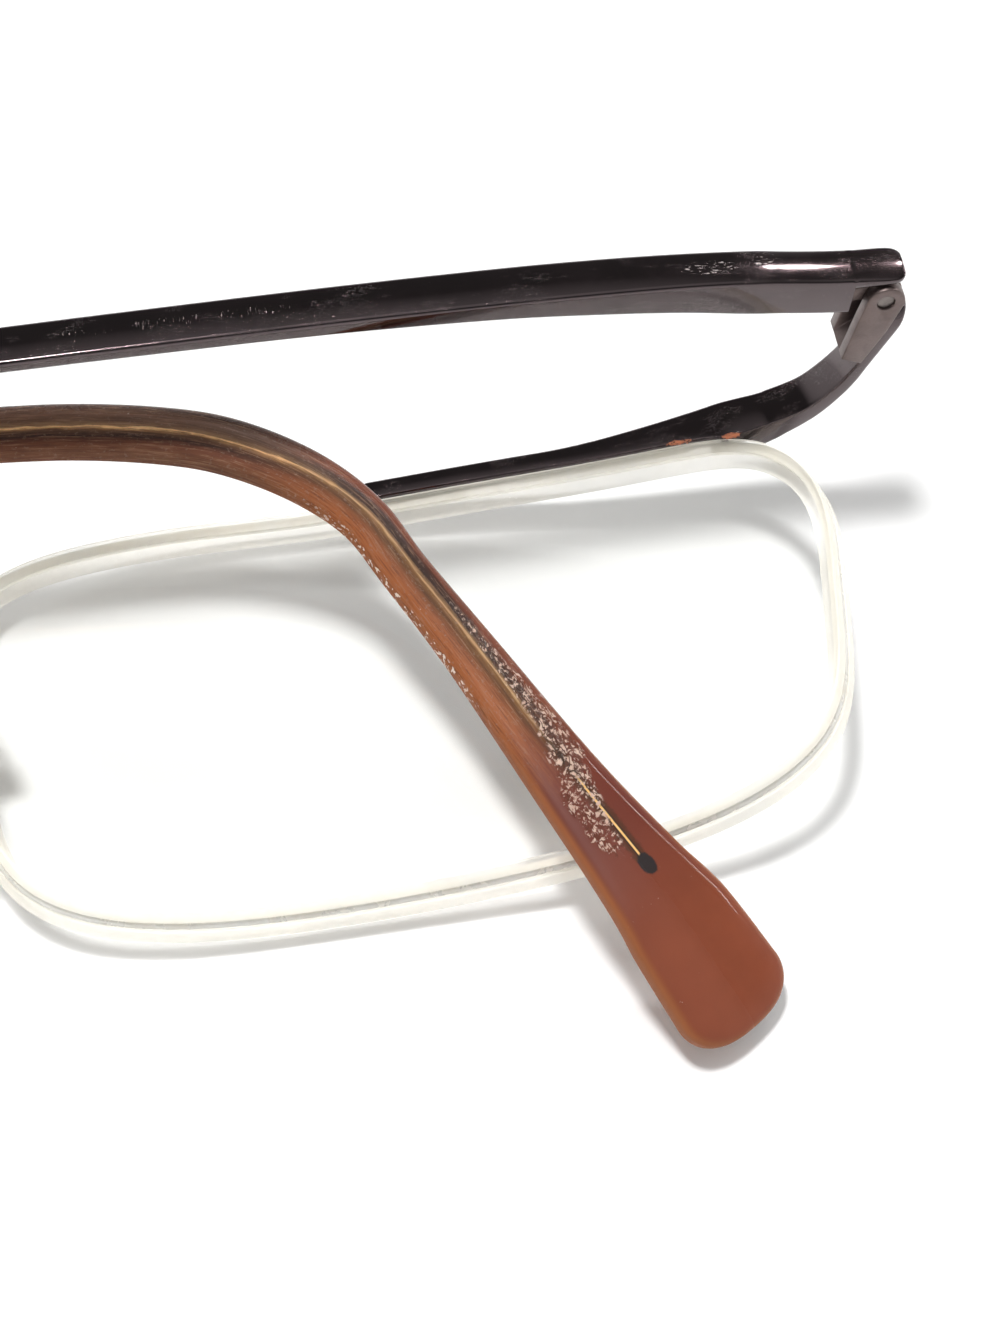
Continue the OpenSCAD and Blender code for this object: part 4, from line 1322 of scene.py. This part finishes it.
@dataclass
class NosePad:
    """A silicone nose pad on its wire arm."""

    front: Front
    side: Side
    height: float = 13.0
    width: float = 7.0
    thick: float = 1.9
    turn: float = 15.0
    splay: float = 20.0
    reach: float = 1.8
    plate: float = 0.5
    fuller: float = 0.18
    around: int = 64
    arm_r: float = 0.4
    arm_around: int = 20
    slot: float = 0.8
    edge: float = 0.22
    box: tuple[float, float, float] = (2.0, 2.2, 1.9)

    @property
    def pivot(self) -> Vector:
        """The pad's pivot, with Y from the lens's middle."""
        return Vector((self.front.bridge_gap / 2 + 1.2, -0.8, 8.8))

    def on_pad(self) -> Matrix:
        """From millimetres round the pivot to metres in the frame."""
        turned = Matrix.Rotation(math.radians(self.turn), 4, "Z")
        return self.front.beside(self.side) @ Matrix.Translation(self.pivot) @ turned

    def silicone(self, finish: Material) -> None:
        """Makes the pad as a soft drop, flat at its back."""
        profile = smooth([(0.8, 0.0), (0.93, 0.06), (0.985, 0.25), (1.0, 0.5), (0.95, 0.75),
                          (0.8, 0.93), (0.5, 1.0), (0.15, 1.02)], 4)
        rings = [[Vector((-self.plate - 0.05 - self.thick * level, -self.height / 2 * share * math.cos(a),
                          self.width / 2 * share * math.sin(a) * (1 + self.fuller * math.cos(a))))
                  for a in circle(self.around)] for share, level in profile]
        splayed = Matrix.Translation((-self.reach, 0, 0)) @ Matrix.Rotation(math.radians(self.splay), 4, "Y")
        node = self.side.node("nose_pad")
        drop = pulled(f"{node}_drop", rings, self.on_pad() @ splayed, finish, last=End.POINT)
        attach(drop, self.side.node("pad"), node)

    def arm(self, finish: Material) -> None:
        """Makes the wire arm with its clevis."""
        f = self.front
        root = f.edge(170, Bridge.gap + Bridge.width * 0.55, f.lens_t - 0.25)
        top = self.pivot + Vector((0, self.box[1] / 2, 0))
        line = smooth([root, root + Vector((0, 0, 1.6)), root + Vector((0.4, -1.2, 3)),
                       top + Vector((-0.3, 1.8, -0.1)), top + Vector((0, -0.2, 0))], 12)
        rings = tube(line, Vector((1, 0, 0)), self.arm_r, self.arm_around)
        wire = pulled("arm_wire", rings, f.beside(self.side), finish)
        clevis = Skin()
        x, y, z = self.box
        made = bmesh.ops.create_grid(clevis.bm, x_segments=1, y_segments=1, size=0.5)["verts"]
        bmesh.ops.scale(clevis.bm, vec=(x, y, 1), verts=made)
        bmesh.ops.translate(clevis.bm, vec=(0, 0, -z / 2), verts=made)
        grown = bmesh.ops.extrude_face_region(clevis.bm, geom=clevis.bm.faces[:])["geom"]
        fresh = [g for g in grown if isinstance(g, bmesh.types.BMVert)]
        bmesh.ops.translate(clevis.bm, vec=(0, 0, z), verts=fresh)
        bmesh.ops.bevel(clevis.bm, geom=clevis.bm.edges[:], offset=self.edge, segments=3, profile=0.5,
                        affect="EDGES", material=-1)
        block = clevis.piece("arm_clevis", self.on_pad(), [finish])
        slot = Skin()
        deep = x + 0.78
        cutter = bmesh.ops.create_cube(slot.bm, size=1.0)["verts"]
        bmesh.ops.scale(slot.bm, vec=(deep, 2 * y, self.slot), verts=cutter)
        bmesh.ops.translate(slot.bm, vec=(-x + deep / 2, 0, 0), verts=cutter)
        combine(block, slot.piece("arm_slot", self.on_pad(), [finish]), "DIFFERENCE")
        node = self.side.node("pad_arm")
        attach(joined(f"{node}_wire", [wire, block]), "front", node)


# --- the studio -------------------------------------------------------------


@dataclass(frozen=True)
class Lamp:
    """A square lamp that looks at the glasses from a direction."""

    name: str
    azimuth: float
    elevation: float
    distance: float
    size: tuple[float, float]
    radiance: float
    turn: float = 0.0

    def build(self, target: Vector) -> None:
        """Makes the lamp. Azimuth 0 is +Y and 90 is +X."""
        data = bpy.data.lights.new(self.name, "AREA")
        data.shape = "RECTANGLE"
        data.size, data.size_y = self.size
        data.energy = self.radiance * math.pi * self.size[0] * self.size[1]
        lamp = bpy.data.objects.new(self.name, data)
        a, e = math.radians(self.azimuth), math.radians(self.elevation)
        back = Vector((math.sin(a) * math.cos(e), math.cos(a) * math.cos(e), math.sin(e)))
        turn = Quaternion(UP, math.radians(self.turn))
        lamp.location = target + back * self.distance
        lamp.rotation_mode = "QUATERNION"
        lamp.rotation_quaternion = (-back).to_track_quat("-Z", "Y") @ turn
        bpy.context.scene.collection.objects.link(lamp)


@dataclass
class Studio:
    """The pale table, the lamps, the surroundings and the camera."""

    front: Front
    lamps: tuple[Lamp, ...] = (
        Lamp("key", -55.0, 82.0, 1.2, (0.17, 0.17), 120.0),
        Lamp("window", 37.3, 40.0, 1.0, (0.055, 0.075), 50.0),
        Lamp("far_strip", 64.0, 29.5, 1.0, (0.72, 0.014), 60.0, 28.0),
    )
    zenith: float = 0.7
    sky: float = 0.12
    horizon: float = 0.9
    lift: float = 0.08
    table_r: float = 2.5
    table_white: Numbers = (0.93, 0.93, 0.925)
    aim: tuple[float, float, float] = (41.446, -0.312, 5.0)
    distance: float = 0.192176
    elevation: float = 54.937
    azimuth: float = 8.993
    roll: float = -0.321
    lens_mm: float = 88.112

    def surroundings(self) -> None:
        """A dim sky between a pale horizon and a pale ceiling."""
        world = bpy.data.worlds.new("studio")
        world.use_nodes = True
        tree = Tree(world.node_tree)
        up = tree.parts(tree.add("ShaderNodeTexCoord").outputs["Generated"])[2]
        stops = ((0.0, self.horizon), (0.30, self.horizon * 0.8), (0.50, self.sky), (0.78, self.sky),
                 (0.97, self.zenith), (1.0, self.zenith))
        level = tree.ramp(up, [(at, (grey,) * 3) for at, grey in stops])
        tree.feed(world.node_tree.nodes["Background"].inputs["Color"], level)
        bpy.context.scene.world = world

    def table(self) -> None:
        """A wide matt white table top, a little paler where it is seen."""
        bm = bmesh.new()
        bmesh.ops.create_circle(bm, segments=96, radius=self.table_r, cap_ends=True)
        mesh = bpy.data.meshes.new("table_top")
        bm.to_mesh(mesh)
        bm.free()
        material = bpy.data.materials.new("table_white")
        material.use_nodes = True
        tree = Tree(material.node_tree)
        path = tree.add("ShaderNodeLightPath").outputs
        shown = tree.most(path["Is Camera Ray"], path["Is Glossy Ray"], path["Is Transmission Ray"])
        tree.fill(material.node_tree.nodes["Principled BSDF"], {
            "Base Color": self.table_white,
            "Roughness": 0.9,
            "Specular IOR Level": 0.1,
            "Emission Color": tree.mix(shown, BLACK, (self.lift,) * 3),
            "Emission Strength": 1.0,
        })
        mesh.materials.append(material)
        top = bpy.data.objects.new("table_top", mesh)
        bpy.context.scene.collection.objects.link(top)
        top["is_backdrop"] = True

    def camera(self) -> None:
        """The camera, looking down over the wearer's right lens."""
        data = bpy.data.cameras.new("camera")
        data.sensor_width, data.sensor_fit, data.lens = 36.0, "AUTO", self.lens_mm
        data.clip_start, data.clip_end = 0.01, 20.0
        camera = bpy.data.objects.new("camera", data)
        e, a = math.radians(self.elevation), math.radians(self.azimuth)
        ahead = Vector((math.sin(a) * math.cos(e), math.cos(a) * math.cos(e), -math.sin(e)))
        right = Vector((math.cos(a), -math.sin(a), 0.0))
        up = right.cross(ahead)
        turn = Matrix((right, up, -ahead)).transposed() @ Matrix.Rotation(math.radians(self.roll), 3, "Z")
        aim = (Vector(self.aim) + Vector((0.0, self.front.lens_y, 0.0))) * MM
        camera.matrix_world = Matrix.Translation(aim - ahead * self.distance) @ turn.to_4x4()
        bpy.context.scene.collection.objects.link(camera)
        bpy.context.scene.camera = camera

    def build(self) -> None:
        """Makes the whole studio."""
        bpy.context.scene.view_settings.view_transform = "Standard"
        self.camera()
        self.surroundings()
        self.table()
        for lamp in self.lamps:
            lamp.build(Vector((0.02, 0.0, 0.0)))


def dress(node: str, material: Material) -> None:
    """Gives a shown CAD node its finish."""
    data = frame["nodes"][node].data
    data.materials.clear()
    data.materials.append(material)


def corners(box: tuple[Vector, Vector]) -> list[list[float]]:
    """A box's two corners as plain lists."""
    return [[round(v, 6) for v in corner] for corner in box]


def main() -> None:
    """Builds the studio, the finishes and every piece."""
    logging.basicConfig(level=logging.INFO, format="%(message)s")
    cad_box = corners(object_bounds())
    front = Front()
    Studio(front).build()

    lacquer = Lacquer("lacquer_plain", chips=(Spot((0.0, 13.0, 8.0), (0.4, 0.3, 0.3)),)).make()
    rim_right = Lacquer(
        "lacquer_right_rim",
        chips=(Spot((53.65, 12.1, 8.1), (1.4, 0.34, 0.6), 1.3), Spot((57.35, 11.38, 9.05), (0.8, 0.28, 0.5), 1.3)),
        # A pale spot painted as a glint on the rim.
        painted_glints=(Spot((59.2, 11.4, 9.75), (0.3, 0.3, 0.6), 0.5),),
    ).make()
    temple_right = Lacquer(
        "lacquer_right_temple",
        chips=(Spot((66.0, -1.3, 100.5), (1.2, 0.25, 0.4)),),
        scuffs=(Spot((10.5, 0.0, 101.3), (1.7, 0.5, 1.0), 0.7), Spot((7.6, 0.25, 101.3), (0.8, 0.45, 1.0), 0.7)),
        ticks=(Spot((40.0, 0.1, 100.5), (8.0, 0.34, 1.0), 0.9),),
    ).make()
    temple_left = Lacquer(
        "lacquer_left_temple",
        chips=(Spot((70.0, 1.3, 100.5), (1.0, 0.25, 0.4)),),
        ticks=(Spot((52.0, 0.1, 100.5), (8.0, 0.34, 1.0), 0.9),),
    ).make()
    hinge = BareMetal("hinge_satin", (0.165, 0.125, 0.118), (0.09, 0.07, 0.065), 0.75, 0.38).make()
    steel = BareMetal("screw_steel", (0.20, 0.175, 0.165), (0.06, 0.05, 0.045), 1.0, 0.36).make()
    wire = BareMetal("pad_wire", (0.62, 0.57, 0.50), (0.33, 0.28, 0.2), 1.0, 0.3).make()
    glass = ClearGlass("lens_polished").make()
    ground = GroundEdge("lens_ground_edge").make()
    nylon = Moulded("nylon_line", (0.93, 0.92, 0.88), (0.85, 0.80, 0.68), 0.25, 0.2).make()
    insert = Moulded("pad_insert", (0.82, 0.81, 0.76), (0.7, 0.66, 0.55), 0.5, 0.25).make()
    silicone = Moulded("pad_silicone", (0.86, 0.83, 0.75), (0.78, 0.70, 0.52), 0.55, 0.32).make()
    aged = TipPlastic("tip_aged").make()

    for side in Side:
        right = side is Side.RIGHT
        Lens(front, side).build(glass, ground, nylon)
        HalfRim(front, side).build(rim_right if right else lacquer)
        pad = NosePad(front, side)
        pad.silicone(silicone)
        pad.arm(wire)
        temple = Temple(front, side, seed=11.0 if right else 3.0, crazed=0.5 if right else 1.0)
        temple.metal(temple_right if right else temple_left)
        temple.tip(aged)
        for part, slot, finish, width, body in (
            ("front_leaf", "hinge_metal", hinge, 0.09, "front"),
            ("temple_leaf", "hinge_metal", hinge, 0.06, side.node("temple")),
            ("hinge_screw", "screw_steel", steel, 0.04, "front"),
            ("pad_screw", "screw_steel", steel, 0.03, "front"),
            ("pad_core", "pad_plastic", insert, 0.06, side.node("pad")),
        ):
            node = side.node(part)
            attach(bevelled_copy(node, width, finish), body, node)
        dress(side.node("rim_liner"), nylon)
    Bridge(front).build(lacquer)

    {"cad": cad_box, "visual": corners(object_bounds())}


if __name__ == "__main__":
    main()
